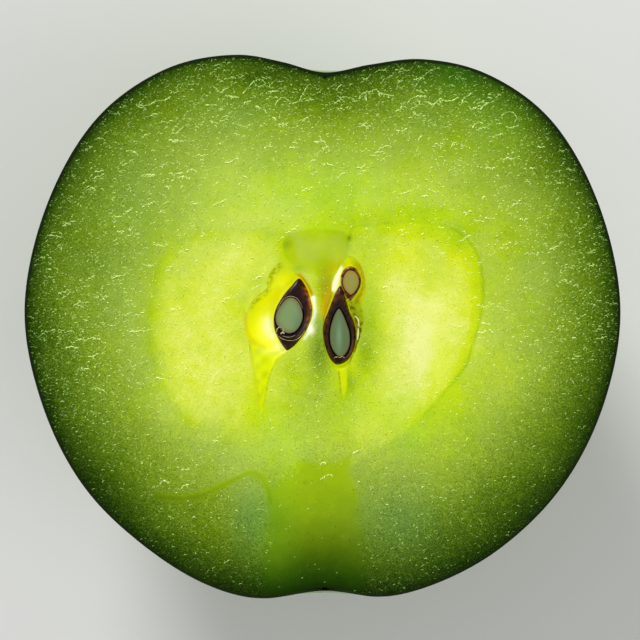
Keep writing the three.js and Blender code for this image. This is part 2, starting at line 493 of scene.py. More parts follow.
HOT_LINE = [(-1.1, 3.5), (-0.95, 2.5), (-0.92, 1.8), (-1.2, 0.8), (-1.45, 0.05), (-1.7, -0.7), (-2.25, -1.55)]
# Soft patches of painted light: x, y, half width, half height, and how much brighter the flesh is there.
LIGHT_PATCHES = [
    (12.7, -0.5, 7.5, 8.5, 0.1), (11, -8, 7, 7, 0.05), (-13.5, 3, 6, 7, 0.07), (-14, -8, 7, 7, 0.09),
    (-17.5, -2, 4, 9, 0.05), (4, 14, 12, 6, 0.04), (0, 31, 9, 4, -0.04), (18.5, 3, 3, 8, 0.04),
    (0.2, -8, 5, 6, -0.06), (0.4, 4.8, 1.0, 2.6, -0.17), (-0.3, -3.0, 1.3, 3.2, -0.25),
    (-0.5, 0.5, 0.8, 1.5, -0.1), (5.9, -0.5, 1.8, 5.5, -0.16), (5.2, -3.8, 1.3, 2.2, -0.06),
    (-3.2, 7.0, 0.9, 0.5, -0.07), (-11, 0.8, 2.0, 6.0, -0.05), (-4.0, -16.5, 1.3, 2.5, 0.04),
    (-4, -5, 1.5, 3.0, -0.05), (-20, 16, 9, 10, -0.04), (-2, 20, 6, 6, 0.04), (27.5, 4, 4, 13, 0.04),
    (29, 22, 5, 6, -0.04), (18, -23, 8, 5, -0.035), (-9.3, -24, 2.5, 4, -0.07), (4, -13, 5, 3, 0.04),
    (8.5, -22.5, 3, 4, -0.06), (-9, 16, 6, 5, 0.03), (7, 19, 4, 3, 0.03), (24, -6, 3.5, 5, 0.05),
    (-15, -1, 3, 5, -0.03), (-27, 8, 4, 7, -0.04), (5, 11, 4, 3, -0.05), (0, 16, 4, 3, -0.02),
    (-19.5, 2.5, 2.0, 7.0, 0.02), (-29, -18, 5, 5, -0.03), (26, 26, 4, 4, 0.02), (33, 4, 3, 10, -0.02),
    (9.3, -2, 1.8, 5, -0.05), (4.9, -1.5, 0.6, 3, -0.05), (3.4, -6.8, 0.9, 1.8, -0.1),
    (15.5, -7, 1.5, 2, 0.04), (22, -9, 3, 4, 0.03), (0, -28.5, 5, 3, -0.04), (2.8, 3.5, 2.2, 4, -0.03),
    (-6, -15, 4, 3, 0.03), (-12, 8.5, 2.5, 2, 0.03), (-9, -27, 5, 3, 0.03), (0, 31, 3, 2, 0.06),
    (14, 14.3, 6, 1.2, -0.02), (20.6, -1.7, 1.0, 4, -0.02), (16.5, 9, 2, 2, 0.03), (17, -14, 4, 4, 0.03),
    (15.5, -19.5, 3, 3, 0.03), (27, 16, 3, 3, 0.02), (-33, 8, 2, 4, 0.03), (22, 12, 2, 4, 0.03),
    (-8, 30.8, 2.5, 1.2, -0.05), (-33.7, -0.5, 1.0, 2.0, -0.04), (17, 11, 1.6, 1.5, -0.05),
    (17, 31, 6, 1.4, -0.07), (-6, -24, 2, 3, -0.03), (-19, -23.5, 3, 3, 0.045),
    (-30, -10.5, 2.5, 2.5, 0.04), (20, -25.5, 3, 2, 0.035), (33.2, 4, 1.5, 2.5, 0.05),
    (33.2, -4, 1.5, 2, 0.03), (-15, 32.2, 3, 0.8, 0.03), (-19, -10, 2, 2, 0.03), (-8, 30.8, 2, 1, -0.03),
    (-8.2, 4.9, 1.2, 1.4, -0.05), (-10, 3.2, 0.8, 1.5, -0.04),
]
# Patches of cooler, greyer green: the same, where 1 is the coolest.
COOL_PATCHES = [
    (-9.0, -23.0, 1.8, 4.0, 1.0), (9.5, -23.5, 4.5, 4.0, 0.9), (-23, 14, 4, 5, 0.6),
    (-12, -15.3, 3, 2.5, 0.6), (15.2, -12, 3, 2.5, 0.5), (-9.6, 25.6, 3, 2.5, 0.5),
    (-7.1, 20.7, 2.5, 2, 0.5), (12.1, 25.6, 2.5, 3, 0.5), (-25, 3, 3, 4, 0.4),
]
# Patches of fresher, more saturated green: the same, where 1 is the freshest.
VIVID_PATCHES = [
    (9, 12.4, 8, 1.6, 0.4), (14, -9.5, 2.5, 3, 0.8), (0, 27, 5, 4, 0.4), (17, 23, 3, 3, 0.3),
    (-4.8, -7, 2.5, 4, 0.4), (0.5, 4.6, 1.0, 3.5, 1.3), (-17, 18, 8, 8, -0.5),
    (-9.3, -23.8, 2.5, 3.5, -1.3), (9, -23.5, 4, 5, -1.2), (-14, 2, 6, 9, -0.25), (0.4, -28, 5, 4, 0.4),
    (-26, -16, 5, 4, 0.1), (-8, 30, 5, 2.5, 0.4), (-13, 26, 4, 3, -0.2), (6.3, -1.0, 2.0, 6.5, 0.45),
    (-4.5, 10.2, 0.8, 0.7, 1.0), (3.2, 11.0, 0.5, 0.5, 0.8), (0, 7.5, 3.5, 1.0, 0.5),
    (6.5, -8.5, 2, 2, 0.2), (-10.8, 0.5, 2.0, 7.0, 0.2), (-20, 14, 4, 4, 0.3), (14, -12, 4, 3, -0.2),
    (-15, 0.8, 2, 4, 0.5), (13, 8.3, 5, 2, 0.1), (23, 8, 2, 3, 0.4), (-19, 8, 3, 3, 0.1),
    (-11.5, 8.3, 2, 2, -0.6), (22, 0.8, 2, 3, -0.2), (-4, 8.5, 1.4, 1.3, 1.0), (-11.5, 3, 1.5, 3, 0.5),
    (-22.7, -3, 2, 4, -0.5), (9, 8.5, 2.5, 2, 0.3), (14.4, 8.2, 1.0, 1.3, -0.3), (-11.5, -18, 2, 2, -0.7),
    (11, -4, 2.5, 5, -0.9), (4, -18, 1.5, 1.5, -0.5), (17, -9, 2.5, 4, 0.4), (-10, 12, 3, 1.5, -0.5),
    (-19, 10, 2, 2.5, 0.4), (0, 12, 3, 1.2, 0.5), (-8.3, -10.5, 1.3, 2, 0.8), (22, 12, 2, 2, 0.2),
    (9, 13.8, 5, 1.2, 0.4), (14.8, -4, 1.8, 5, 0.6), (18.5, 12.3, 1.5, 1.2, 0.4), (-15, 27, 2.5, 2.5, -0.5),
    (-22.7, 17.5, 2.5, 3, -0.3), (-28, 8, 3, 2.5, -0.5), (-13.5, 0.8, 2.5, 2, -0.3), (-19, -10, 2, 2, -0.5),
    (-15, -14, 2, 2, -0.4), (-1.5, -15.5, 2.5, 2, -0.5), (18.3, -21.5, 2.5, 2, -0.4), (10, 9.5, 2, 2, 0.5),
    (16.8, 9.6, 2, 2, 0.9), (13.3, 14, 4, 1.2, 0.6), (12.5, -12.5, 3, 2, 0.7), (3, -7, 2, 3, 0.6),
    (-8.5, -7, 2, 2, 0.6),
]
# Patches of leafier green, with less yellow in it: the same, where 1 is the leafiest.
LEAFY_PATCHES = [
    (-1, 15.7, 10, 3.5, 0.9), (3, 19, 3, 3, 0.4), (-0.3, 12.3, 2.5, 0.6, 0.8), (13, 14, 4, 1.5, 0.5),
    (8, -10.5, 7, 3, 0.8), (-7.5, -10.5, 2, 2.5, 0.9), (-4.5, -15, 3, 4, 0.6), (-6, -24, 3, 6, 0.6),
    (17, 31, 4, 3, 0.5), (21.5, 25, 4, 4, 0.4), (11, -14, 2, 2, 0.8), (16, 11.5, 2.5, 1.5, 0.5),
    (15, -5, 3, 5, 0.5),
]
# Where the flesh beside a seed is tinted gold: a line, half its width, and how strong it is.
GOLD_LINES = [
    ([(-2.8, 6.4), (-2.2, 5.6), (-1.65, 4.7), (-1.3, 3.9)], 0.28, 0.9),
    ([(1.15, 5.0), (0.95, 4.2), (0.65, 3.2), (0.35, 2.2), (0.2, 1.2)], 0.3, 0.6),
    ([(0.35, 3.9), (0.1, 2.6), (-0.1, 1.6)], 0.5, 0.25),
    ([(-9.6, 1.6), (-9.35, -0.6), (-8.4, -2.1), (-7.1, -2.6)], 0.3, 0.35),
    ([(2.25, 8.2), (2.0, 7.5)], 0.2, 0.3),
    ([(4.3, 7.6), (4.85, 6.6), (5.0, 5.4), (4.9, 4.3), (4.4, 3.2)], 0.45, 0.4),
    ([(1.2, 7.2), (0.5, 5.8), (0.3, 4.2), (0.3, 2.8)], 0.9, 0.33),
]


def along_line(points, steps=6):
    """A smooth curve from the first point to the last."""
    return smooth_curve(points, steps, closed=False)


def line_distance(points, spots):
    return distance_to(along_line(points), spots)


def added(spots, patches):
    """The sum of a table's patches at each spot."""
    amounts = (amount * patch(spots, x, y, wide, high) for x, y, wide, high, amount in patches)
    return sum(amounts, np.zeros(len(spots)))


def drawn(spots, lines):
    """The sum of a table's lines at each spot."""
    return sum(amount * near(line_distance(line, spots), wide) for line, wide, amount in lines)


def light_in(spots):
    """How brightly the painted glow lights the flesh: it darkens towards the skin, most of all at the calyx
    end.
    """
    height = spots[:, 1] / HALF_LENGTH
    depth = distance_to(closed_line(outline), spots)
    light = CORE_GLOW - (SKIN_SHADE - 0.13 * height) * fading(depth, SHADE_REACH)
    rim_reach = 0.9 - 0.45 * step_at(spots[:, 1], 28, 1.5)
    light -= (0.19 + 0.12 * height) * fading(depth, rim_reach)
    light -= 0.1 * step_at(spots[:, 1], 24, 2.5) * fading(depth, 7)
    return light + added(spots, LIGHT_PATCHES)


def lower_part(spots):
    """1 below the core, where the knife left the face smoother."""
    return step_at(spots[:, 1] - 0.12 * spots[:, 0], -8.5, -2)


def column_at(spots):
    """1 on the smooth column of flesh that runs from the core to the calyx."""
    return step_at(signed_depth(smooth_curve(CALYX_COLUMN, 5), spots), 0, 0.22)


def hot_in(spots):
    """Where painted light breaks through the thin tissue beside the seeds."""
    streak = near(line_distance(HOT_LINE, spots), 0.17)
    spill = patch(spots, -1.1, 3.5, 0.25, 0.3) + patch(spots, -1.4, -0.4, 0.4, 0.6)
    return 0.7 * streak + 0.95 * spill + 0.15 * patch(spots, -0.9, 1.8, 0.4, 1.6)


spots = coordinates(flesh)[:, :2]
x, y = spots.T
light = light_in(spots)
vivid = 0.4 + added(spots, VIVID_PATCHES)

# The core line is a thin dark line on the right and a soft one on the left. The flesh within it is a little
# brighter than outside, and on the right a fresh green band follows it.
right_line = line_distance(CORE_LINE_RIGHT, spots)
left_line = line_distance(CORE_LINE_LEFT, spots)
sharp = step_at(y, 12.2, -0.4) * step_at(y, -10.5, 1.0)
band = near(line_distance(CORE_BAND, spots), 0.65 + 0.4 * step_at(y, 4, 1))
right_lobe = step_at(signed_depth(along_line(CORE_LINE_RIGHT), spots), 0, 0.12)
light -= (0.015 + 0.06 * sharp) * near(right_line, 0.18) + 0.02 * band
light -= 0.015 * near(left_line, 0.8)
for line, away in ((CORE_LINE_RIGHT, right_line), (CORE_LINE_LEFT, left_line)):
    within = inside(along_line(line), spots) - 0.5
    light += 0.04 * within * (1 - near(away, 0.3)) * fading(away, 2.0)
vivid += 1.2 * band * right_lobe - 0.2 * (1 - right_lobe) * fading(right_line, 2.5)
vivid += 0.5 * near(left_line, 0.8)

# The bundle is a fresh green line, with paler flesh above it than below. The column is fresh green too.
bundle = line_distance(CALYX_BUNDLE, spots)
above = step_at(y - np.interp(x, *np.transpose(CALYX_BUNDLE)), 0, 0.08) * step_at(x, -7.5, -0.3)
column = column_at(spots)
light -= 0.06 * near(bundle, 0.22) + 0.02 * (1 - above) * fading(bundle, 1.2)
light += 0.04 * above * fading(bundle, 1.8)
vivid += 1.6 * near(bundle, 0.4) - 0.4 * above * fading(bundle, 1.5)
vivid += 0.8 * patch(spots, -8.2, -18.9, 1.0, 0.5)
vivid += 0.9 * column + 0.3 * patch(spots, -2, -18.5, 3.5, 1.5)
light -= 0.12 * patch(spots, -2.15, -19.4, 0.2, 0.25)

# The pith is darker, with a dark edge on top and a dark spot at each upper corner.
cap = signed_depth(smooth_curve(PITH_CAP, 6), spots)
light -= 0.02 * near(line_distance(STEM_LINE, spots), 0.4)
light -= 0.05 * step_at(cap, 0, 0.12) + 0.03 * near(cap, 0.2) * step_at(y, 8, 0.8)
light -= 0.1 * patch(spots, -4.5, 10.2, 0.6, 0.5) + 0.25 * patch(spots, 3.3, 11.0, 0.2, 0.3)

# The grain is coarsest where the flesh is dark, and almost gone on the pith, the column and the bundle.
lower = lower_part(spots)
grain = 0.25 + 0.75 * step_at(light - 0.08 * lower, 0.7, -0.05)
grain *= (1 - step_at(cap, 0, 0.3)) * (1 - 0.9 * column) * (1 - 0.9 * near(bundle, 0.5))
grain *= (0.85 - 0.15 * lower) * (1 - 0.35 * step_at(y, 4, 3))
grain *= 1 - 0.6 * patch(spots, -8.8, -21.5, 2.0, 3.0) - 0.6 * patch(spots, 4.8, -23, 1.5, 4.0)
paint(flesh, "light", light)
paint(flesh, "vivid", vivid)
paint(flesh, "hot", hot_in(spots))
paint(flesh, "grain", grain)
paint(flesh, "gold", drawn(spots, GOLD_LINES) + 0.06 * step_at(cap, 0, 0.2))
paint(flesh, "cool", added(spots, COOL_PATCHES))
paint(flesh, "leafy", added(spots, LEAFY_PATCHES))

# The flesh's colours at twelve levels of light, for dull flesh and for fresh flesh.
DULL = [
    (0.06, colour(10, 18, 2)), (0.2, colour(33, 52, 3)), (0.29, colour(47, 70, 5)),
    (0.37, colour(62, 90, 8)), (0.45, colour(81, 111, 14)), (0.53, colour(101, 131, 25)),
    (0.61, colour(122, 152, 40)), (0.69, colour(142, 170, 56)), (0.78, colour(162, 189, 66)),
    (0.86, colour(186, 211, 76)), (0.94, colour(218, 233, 91)), (1.0, colour(242, 246, 150)),
]
VIVID = [
    (0.06, colour(6, 16, 0)), (0.2, colour(22, 47, 0)), (0.29, colour(36, 68, 0)),
    (0.37, colour(57, 88, 1)), (0.45, colour(77, 107, 2)), (0.53, colour(98, 127, 5)),
    (0.61, colour(118, 148, 12)), (0.69, colour(139, 170, 14)), (0.78, colour(158, 188, 16)),
    (0.86, colour(184, 212, 12)), (0.94, colour(212, 229, 26)), (1.0, colour(235, 242, 90)),
]
GOLD = colour(200, 162, 8)
WHITE_HOT = colour(255, 255, 225)
COOL_GREEN = colour(85, 160, 125)
LEAFY_GREEN = colour(110, 220, 45)


def flesh_tone(brightness, freshness):
    """The flesh's colour at a brightness, from dull at a freshness of 0 to fresh at 1."""
    brightness = brightness.clipped()
    return brightness.ramp(DULL).mixed(brightness.ramp(VIVID), freshness)


wire, shader = finish_of(
    flesh, "cut_apple_flesh", Roughness=0.5, Specular_IOR_Level=0.04, Subsurface_Weight=0.1,
    Subsurface_Radius=(1.0, 1.0, 0.3), Subsurface_Scale=1.0 * MM,
)
grit = (wire.noise(0.3, 2.0, 0.0, (1, 1, 1), 1.5) - 0.5) * 0.32 + (wire.noise(0.16, 1.0, 9.0) - 0.5) * 0.55
blotch = (wire.noise(5.0, 3.0, 3.7) - 0.5) * 0.1 + (wire.noise(1.5, 2.0, 8.1) - 0.5) * 0.06
away = wire.maths("ABSOLUTE", wire.noise(0.7, 1.0, 21.0, (1, 1.4, 1), 0.8) - 0.5)
threads = (1 - away * 16).clipped() * wire.noise(0.45, 1.0, 33.0).between(0.48, 0.62)
fine = grit + threads * 0.17 - 0.04
# The painted glow and shade set the flesh's colour, under its grain and blotches.
brightness = wire.attribute("light") + blotch + fine * wire.attribute("grain")
drift = (wire.noise(6.0, 3.0, 11.0) - 0.5) * 1.6 + (wire.noise(1.8, 2.0, 4.2) - 0.5) * 0.9
tone = flesh_tone(brightness, (wire.attribute("vivid") + drift).clipped())
tone = tone.mixed(COOL_GREEN, (wire.attribute("cool") * 0.15).clipped())
tone = tone.mixed(LEAFY_GREEN, (wire.attribute("leafy") * 0.17).clipped())
tone = tone.mixed(GOLD, wire.attribute("gold").clipped())
# A painted near-white glow where light breaks through beside the seeds.
tone = tone.mixed(WHITE_HOT, wire.attribute("hot").clipped())
feed(tone, shader, "Base Color")
bumped((wire.noise(0.25, 3.0, 5.0) + threads * 0.3) * wire.attribute("grain"), shader, 0.1)
smooth_shaded(flesh)
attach(flesh, "root")
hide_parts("flesh")


# ---- Peel ---------------------------------------------------------------------------------------------
# The fruit's own skin, a third of a millimetre thick: waxy and mid green, with pale breathing spots. Only
# its edge shows at the cut, where it looks almost black.
PEEL_ACROSS = 150  # steps from the left edge of the cut to the right one
SPOT_SPACING = 3.2  # between the pale spots


def peel_place(across, along):
    return settled(dome(outline, along, across))


peel = formed_sheet("apple_peel", PEEL_ACROSS, len(outline) // 2, peel_place)
in_edit_mode(peel, close_seams)
applied(peel, "SOLIDIFY", thickness=PEEL_THICKNESS * MM, offset=-1, use_even_offset=True)
places = coordinates(peel)
places[:, 2] = np.clip(places[:, 2], 0, CUT)
move_to(peel, places)
paint(peel, "cut_edge", step_at(places[:, 2], CUT - 0.15, 0.04))

wire, shader = finish_of(peel, "green_apple_peel", Specular_IOR_Level=0.1, Coat_Roughness=0.15)
mottle = wire.noise(6.0, 4.0, 2.0)
skin = mottle.ramp([(0.3, colour(92, 140, 26)), (0.55, colour(112, 160, 34)), (0.75, colour(138, 178, 52))])
cork = wire.make("ShaderNodeTexCoord", output=3)
cork = wire.make("ShaderNodeTexVoronoi", Vector=cork, Scale=1 / (SPOT_SPACING * MM), Randomness=1.0)
skin = skin.mixed(colour(205, 215, 150), (1 - cork.between(0.05, 0.11)) * 0.7)
skin = skin.mixed(colour(10, 22, 3), wire.attribute("cut_edge"))
feed(skin, shader, "Base Color")
feed((1 - wire.attribute("cut_edge")) * 0.6, shader, "Coat Weight")
feed(wire.attribute("cut_edge") * 0.5 + 0.35, shader, "Roughness")
bumped(wire.noise(0.9, 3.0), shader, 0.03, 0.3)
smooth_shaded(peel)
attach(peel, "root")


# ---- Seed chamber walls -------------------------------------------------------------------------------
# Each chamber is lined with a thin, tough, glossy wall, like parchment. It is translucent yellow, and the
# flesh shines through it.
# The walls' glow is painted light, given as their emission, and their darker lines are painted shade.
WALL_ACROSS = 70  # steps from side to side
WALL_ALONG = 190  # steps from end to end
WALL_DROP = FACE_DROP + 0.02  # the walls' rims lie this far below the cut

# The seeds' outlines, clockwise from their stem ends. The walls are deep below them.
LEFT_SEED = [
    (-2.89, 6.0), (-2.14, 5.1), (-1.5, 3.5), (-1.25, 2.2), (-1.35, 1.2), (-1.72, 0.1), (-2.3, -0.95),
    (-3.05, -1.9), (-3.8, -2.65), (-4.4, -3.0), (-4.9, -2.5), (-5.45, -1.65), (-5.98, -0.4), (-6.1, 0.9),
    (-5.82, 2.2), (-4.98, 3.75), (-3.9, 5.05),
]
RIGHT_SEED = [
    (2.25, 5.1), (2.65, 4.3), (2.96, 3.2), (3.35, 1.9), (3.9, 0.6), (4.17, -0.6), (4.12, -1.9), (3.78, -3.2),
    (3.15, -4.2), (2.4, -4.65), (1.75, -4.75), (1.15, -4.3), (0.58, -3.3), (0.22, -1.9), (0.08, -0.6),
    (0.2, 0.6), (0.75, 2.0), (1.27, 3.4), (1.75, 4.5),
]
SMALL_SEED = [
    (3.5, 7.5), (4.16, 7.2), (4.6, 6.5), (4.8, 5.77), (4.7, 5.03), (4.42, 4.41), (4.0, 3.79),
    (3.5, 3.2), (3.0, 3.66), (2.61, 4.28), (2.3, 5.03), (2.23, 5.77), (2.36, 6.55), (2.79, 7.22),
]


def chamber_wall(name, loop, depths):
    """A bowl inside a chamber's rim. depths turns spots and how far in they lie into depths."""
    rim = grown(loop, WALL_OVERLAP)
    tip = np.argmin(rim[:, 1])
    edges = (rim[: tip + 1][::-1], closed_line(rim)[tip:])

    def place(across, along):
        y = rim[tip, 1] + (rim[0, 1] - rim[tip, 1]) * (0.5 - 0.5 * np.cos(math.pi * along))
        left_x, right_x = (np.interp(y, np.maximum.accumulate(edge[:, 1]), edge[:, 0]) for edge in edges)
        bowl_spots = np.stack([left_x + (right_x - left_x) * across, y], 1)
        far_in = np.maximum(signed_depth(loop, bowl_spots), 0)
        return np.column_stack([bowl_spots, CUT - WALL_DROP - depths(bowl_spots, far_in)])

    wall = formed_sheet(name, WALL_ACROSS, WALL_ALONG, place)
    in_edit_mode(wall, close_seams)
    if wall.data.polygons[0].normal.z < 0:
        in_edit_mode(wall, bpy.ops.mesh.flip_normals)
    return wall


def bowl(far_in, deepest, reach):
    """The depth of a bowl with a soft rim, so far in from it."""
    return deepest * np.sin(np.clip(far_in / reach, 0, 1) * math.pi / 2) ** 1.5


def under(seeds, at):
    """1 below the seeds, and 0 a little way off."""
    return sum(step_at(signed_depth(smooth_curve(seed, 4), at), -0.1, 0.15) for seed in seeds).clip(0, 1)


def left_depths(at, far_in):
    """Deep in the middle, shallower towards the stem, with a shallow, lumpy groove for a tail."""
    upper = step_at(at[:, 1] + 0.3 * (at[:, 0] + 8), -2.3, 0.18)
    gentle = step_at(at[:, 1], 4.5, 0.7)
    main = bowl(far_in, 1.7, 2.4) * (1 - gentle) + bowl(far_in, 0.9, 3.0) * gentle
    lumps = 0.12 * np.sin(2.9 * at[:, 0]) * np.sin(3.3 * at[:, 1] + 1) * np.clip(far_in / 0.5, 0, 1)
    open_part = main * upper + (bowl(far_in, 0.6, 0.5) + lumps) * (1 - upper)
    below = under([LEFT_SEED], at)
    return open_part * (1 - below) + bowl(far_in, 3.0, 0.3) * below


def right_depths(at, far_in):
    """Shallow, and shallower still in the tail, but deep under the two seeds."""
    below = under([RIGHT_SEED, SMALL_SEED], at)
    tail = step_at(-at[:, 1], 4.9, 0.2)
    open_part = bowl(far_in, 0.7, 1.3) * (1 - tail) + bowl(far_in, 0.25, 0.5) * tail
    return open_part * (1 - below) + bowl(far_in, 3.0, 0.25) * below


# How each wall is tinted: patches, as above, where it glows with painted light and where it is milky, and
# lines, as above, where painted shade darkens it.
LEFT_GLOW = [
    (-7.1, 0.2, 1.5, 2.2, 0.3), (-6.6, -0.2, 1.0, 1.9, 0.22), (-5.6, -2.3, 0.8, 0.8, 0.1),
    (-6.1, -1.2, 0.5, 0.6, 0.25), (-5.0, 7.4, 1.5, 1.0, -0.1), (-4.9, 4.4, 1.0, 1.5, 0.22),
    (-8.9, 3.0, 0.8, 1.2, -0.1), (-6.6, 5.5, 0.5, 1.2, -0.1), (-6.3, 3.3, 1.0, 1.0, 0.12),
    (-7.6, -4.4, 1.2, 0.9, -0.12), (-8.6, -3.9, 0.5, 0.8, -0.1), (-7.6, -2.8, 1.4, 0.9, -0.12),
    (-7.0, -6.5, 1.0, 2.0, -0.14), (-7.7, -9.8, 0.8, 1.8, -0.25),
]
LEFT_MILK = [
    (-7.2, -2.9, 1.0, 0.6, 0.15), (-6.8, -1.1, 1.0, 0.7, 0.35), (-5.4, -2.4, 0.7, 0.7, 1.0),
    (-6.1, -3.3, 1.0, 0.7, 0.1), (-4.7, -3.05, 0.4, 0.4, 0.7), (-7.0, 0.6, 0.9, 1.0, 0.2),
]
RIGHT_GLOW = [
    (3.2, 8.0, 0.8, 0.8, 0.25), (4.4, 0.5, 0.8, 3.2, -0.4), (2.5, -6.6, 0.5, 1.6, 0.06),
    (2.6, -9.2, 0.5, 0.6, -0.2), (0.8, -4.2, 0.4, 1.0, 0.1), (5.0, 5.0, 0.4, 2.0, 0.15),
]
RIGHT_SHADE = [
    ([(2.9, 3.5), (3.3, 3.0), (3.6, 2.4), (3.95, 1.6), (4.25, 0.6), (4.35, -0.6), (4.2, -1.8), (3.9, -2.8)],
     0.35, 1.3),
    ([(4.85, 1.8), (4.9, 0.2), (4.5, -1.6)], 0.25, 0.8),
    ([(0.05, 1.2), (-0.05, 0.1), (0.05, -1.4), (0.2, -2.4)], 0.16, 0.9),
    ([(4.3, 7.6), (4.85, 6.6), (5.0, 5.4), (4.9, 4.3), (4.4, 3.2)], 0.4, 0.35),
    ([(4.3, -2.2), (3.95, -3.3), (3.4, -4.4)], 0.28, 0.9),
    ([(0.5, -2.5), (0.9, -3.8), (1.4, -4.9)], 0.15, 0.4),
    ([(2.0, -5.6), (2.15, -7.0), (2.25, -8.2), (2.45, -9.1)], 0.12, 0.45),
    ([(3.2, -5.6), (3.2, -7.0)], 0.12, 0.3),
]
LEFT_SHADE = [
    ([(-5.4, 7.6), (-6.1, 6.7), (-6.65, 5.6), (-6.85, 4.7)], 0.42, 1.1),
    ([(-7.2, 4.3), (-8.1, 3.5), (-8.8, 2.6)], 0.4, 1.1), ([(-9.2, -1.9), (-9.0, -2.9)], 0.2, 0.5),
    ([(-5.6, -4.1), (-6.45, -5.8), (-6.85, -7.2), (-7.1, -8.8), (-7.4, -10.2)], 0.13, 0.8),
    ([(-8.2, -5.3), (-8.1, -7.0), (-7.9, -8.8)], 0.2, 0.4),
]
RIGHT_HOT_LINE = [(2.15, 7.2), (1.9, 6.4), (1.7, 5.6), (1.45, 4.7)]


def left_fade(at):
    """1 where the lining is clear to see, 0 where it is as green as the flesh round it."""
    uneven = 0.12 * np.sin(3.1 * at[:, 1]) + 0.08 * np.sin(7.3 * at[:, 1] + 1)
    outer_tail = step_at(at[:, 1], -3.0, -0.25) * step_at(at[:, 0] + uneven, -7.95, -0.12)
    return (1 - step_at(at[:, 1], 7.0, 0.3)) * (1 - 0.6 * outer_tail)


def right_fade(at):
    """The same for the right chamber, where only its outer side is green."""
    return 1 - 0.8 * patch(at, 5.3, 4.5, 0.45, 5.0)


CHAMBERS = {
    "left": {
        "loop": left_chamber, "depths": left_depths, "fade": left_fade, "shade": colour(165, 182, 2),
        "first_glow": 0.5, "glows": LEFT_GLOW, "milks": LEFT_MILK, "shades": LEFT_SHADE,
    },
    "right": {
        "loop": right_chamber, "depths": right_depths, "fade": right_fade, "shade": colour(108, 86, 12),
        "first_glow": 0.25, "glows": RIGHT_GLOW, "milks": [], "shades": RIGHT_SHADE,
    },
}
# The lining's colours at levels of its painted glow.
LINING = [
    (0.0, colour(150, 175, 8)), (0.25, colour(192, 213, 6)), (0.45, colour(216, 229, 4)),
    (0.65, colour(236, 241, 10)), (0.82, colour(246, 250, 60)), (1.0, colour(252, 252, 165)),
]
MILK = colour(232, 238, 138)
BLACK = colour(0, 0, 0)


def painted_wall(wall, chamber):
    """Stores where a wall glows, is milky, gold, shaded or hot, and where its clear lining starts."""
    places = coordinates(wall)
    spots = places[:, :2]
    far_in = distance_to(closed_line(chamber["loop"]), spots)
    ragged = 0.07 * np.sin(9 * spots[:, 1] + 4 * np.sin(5 * spots[:, 0])) * step_at(spots[:, 1], 2.5, 0.5)
    paint(wall, "glow", chamber["first_glow"] + added(spots, chamber["glows"]))
    paint(wall, "milk", added(spots, chamber["milks"]))
    paint(wall, "gold", drawn(spots, GOLD_LINES))
    paint(wall, "shade", drawn(spots, chamber["shades"]))
    paint(wall, "hot", hot_in(spots) + 0.78 * near(line_distance(RIGHT_HOT_LINE, spots), 0.36))
    paint(wall, "light", light_in(spots))
    paint(wall, "lining", step_at(far_in + ragged, 0.14, 0.05) * chamber["fade"](spots))
    # How deep the wall lies, which strengthens its painted glow.
    paint(wall, "deep", (CUT - places[:, 2]) / 1.5)


def wall_finish(wall, name, shade):
    """Part of a wall's colour is its surface, and part is painted light that comes through it, stronger
    deeper down.
    """
    wire, shader = finish_of(wall, name, Roughness=0.3, Specular_IOR_Level=0.06, Emission_Strength=1.0)
    waves = (wire.noise(1.6, 2.0) - 0.5) * 0.3
    streaks = wire.noise(0.9, 2.0, 7.0).between(0.35, 0.6) * 0.5 + 0.6
    uneven = wire.noise(0.5, 2.0).between(0.4, 0.6) * 0.8 + 0.2
    tone = flesh_tone(wire.attribute("light"), 0.9)
    tone = tone.mixed((wire.attribute("glow") + waves).clipped().ramp(LINING), wire.attribute("lining"))
    tone = tone.mixed(MILK, (wire.attribute("milk") * streaks).clipped())
    tone = tone.mixed(GOLD, wire.attribute("gold").clipped())
    tone = tone.mixed(shade, (wire.attribute("shade") * uneven).clipped())
    tone = tone.mixed(WHITE_HOT, wire.attribute("hot").clipped())
    feed(tone.mixed(BLACK, wire.attribute("lining") * 0.1 + 0.45), shader, "Base Color")
    deep = wire.attribute("deep").clipped()
    through = (wire.attribute("lining") * (deep * 0.15 + 0.16) + 0.45 + wire.attribute("hot")).clipped()
    feed(tone.mixed(BLACK, 1 - through), shader, "Emission Color")
    bumped(wire.noise(0.8, 2.0), shader, 0.05, 0.4)


for side, chamber in CHAMBERS.items():
    wall = chamber_wall(f"chamber_wall_{side}", chamber["loop"], chamber["depths"])
    painted_wall(wall, chamber)
    applied(wall, "SOLIDIFY", thickness=CHAMBER_WALL * MM, offset=-1)
    wall_finish(wall, f"chamber_wall_{side}", chamber["shade"])
    smooth_shaded(wall)
    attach(wall, "root")


# ---- Seeds --------------------------------------------------------------------------------------------
# Three seeds lie in the chambers, cut level with the face. Each is a pale kernel in a dark brown, glossy
# coat that slopes away from the cut.
LOOP_POINTS = 120  # round a seed
SEED_ROWS = 40  # from its cut edge to its lowest point
SLOPE_SHARE = 0.4  # the share of a coat's rows that slope out from the cut; the others close it below
COAT_DROP = 0.02  # the coats' cut edges lie this far below the cut
KERNEL_DROP = 0.14  # the kernels' edges lie this far below it
KERNEL_CROWN = 0.1  # how far their cut faces swell
KERNEL_SHORTFALL = 0.5  # a kernel reaches this much less deep than its coat

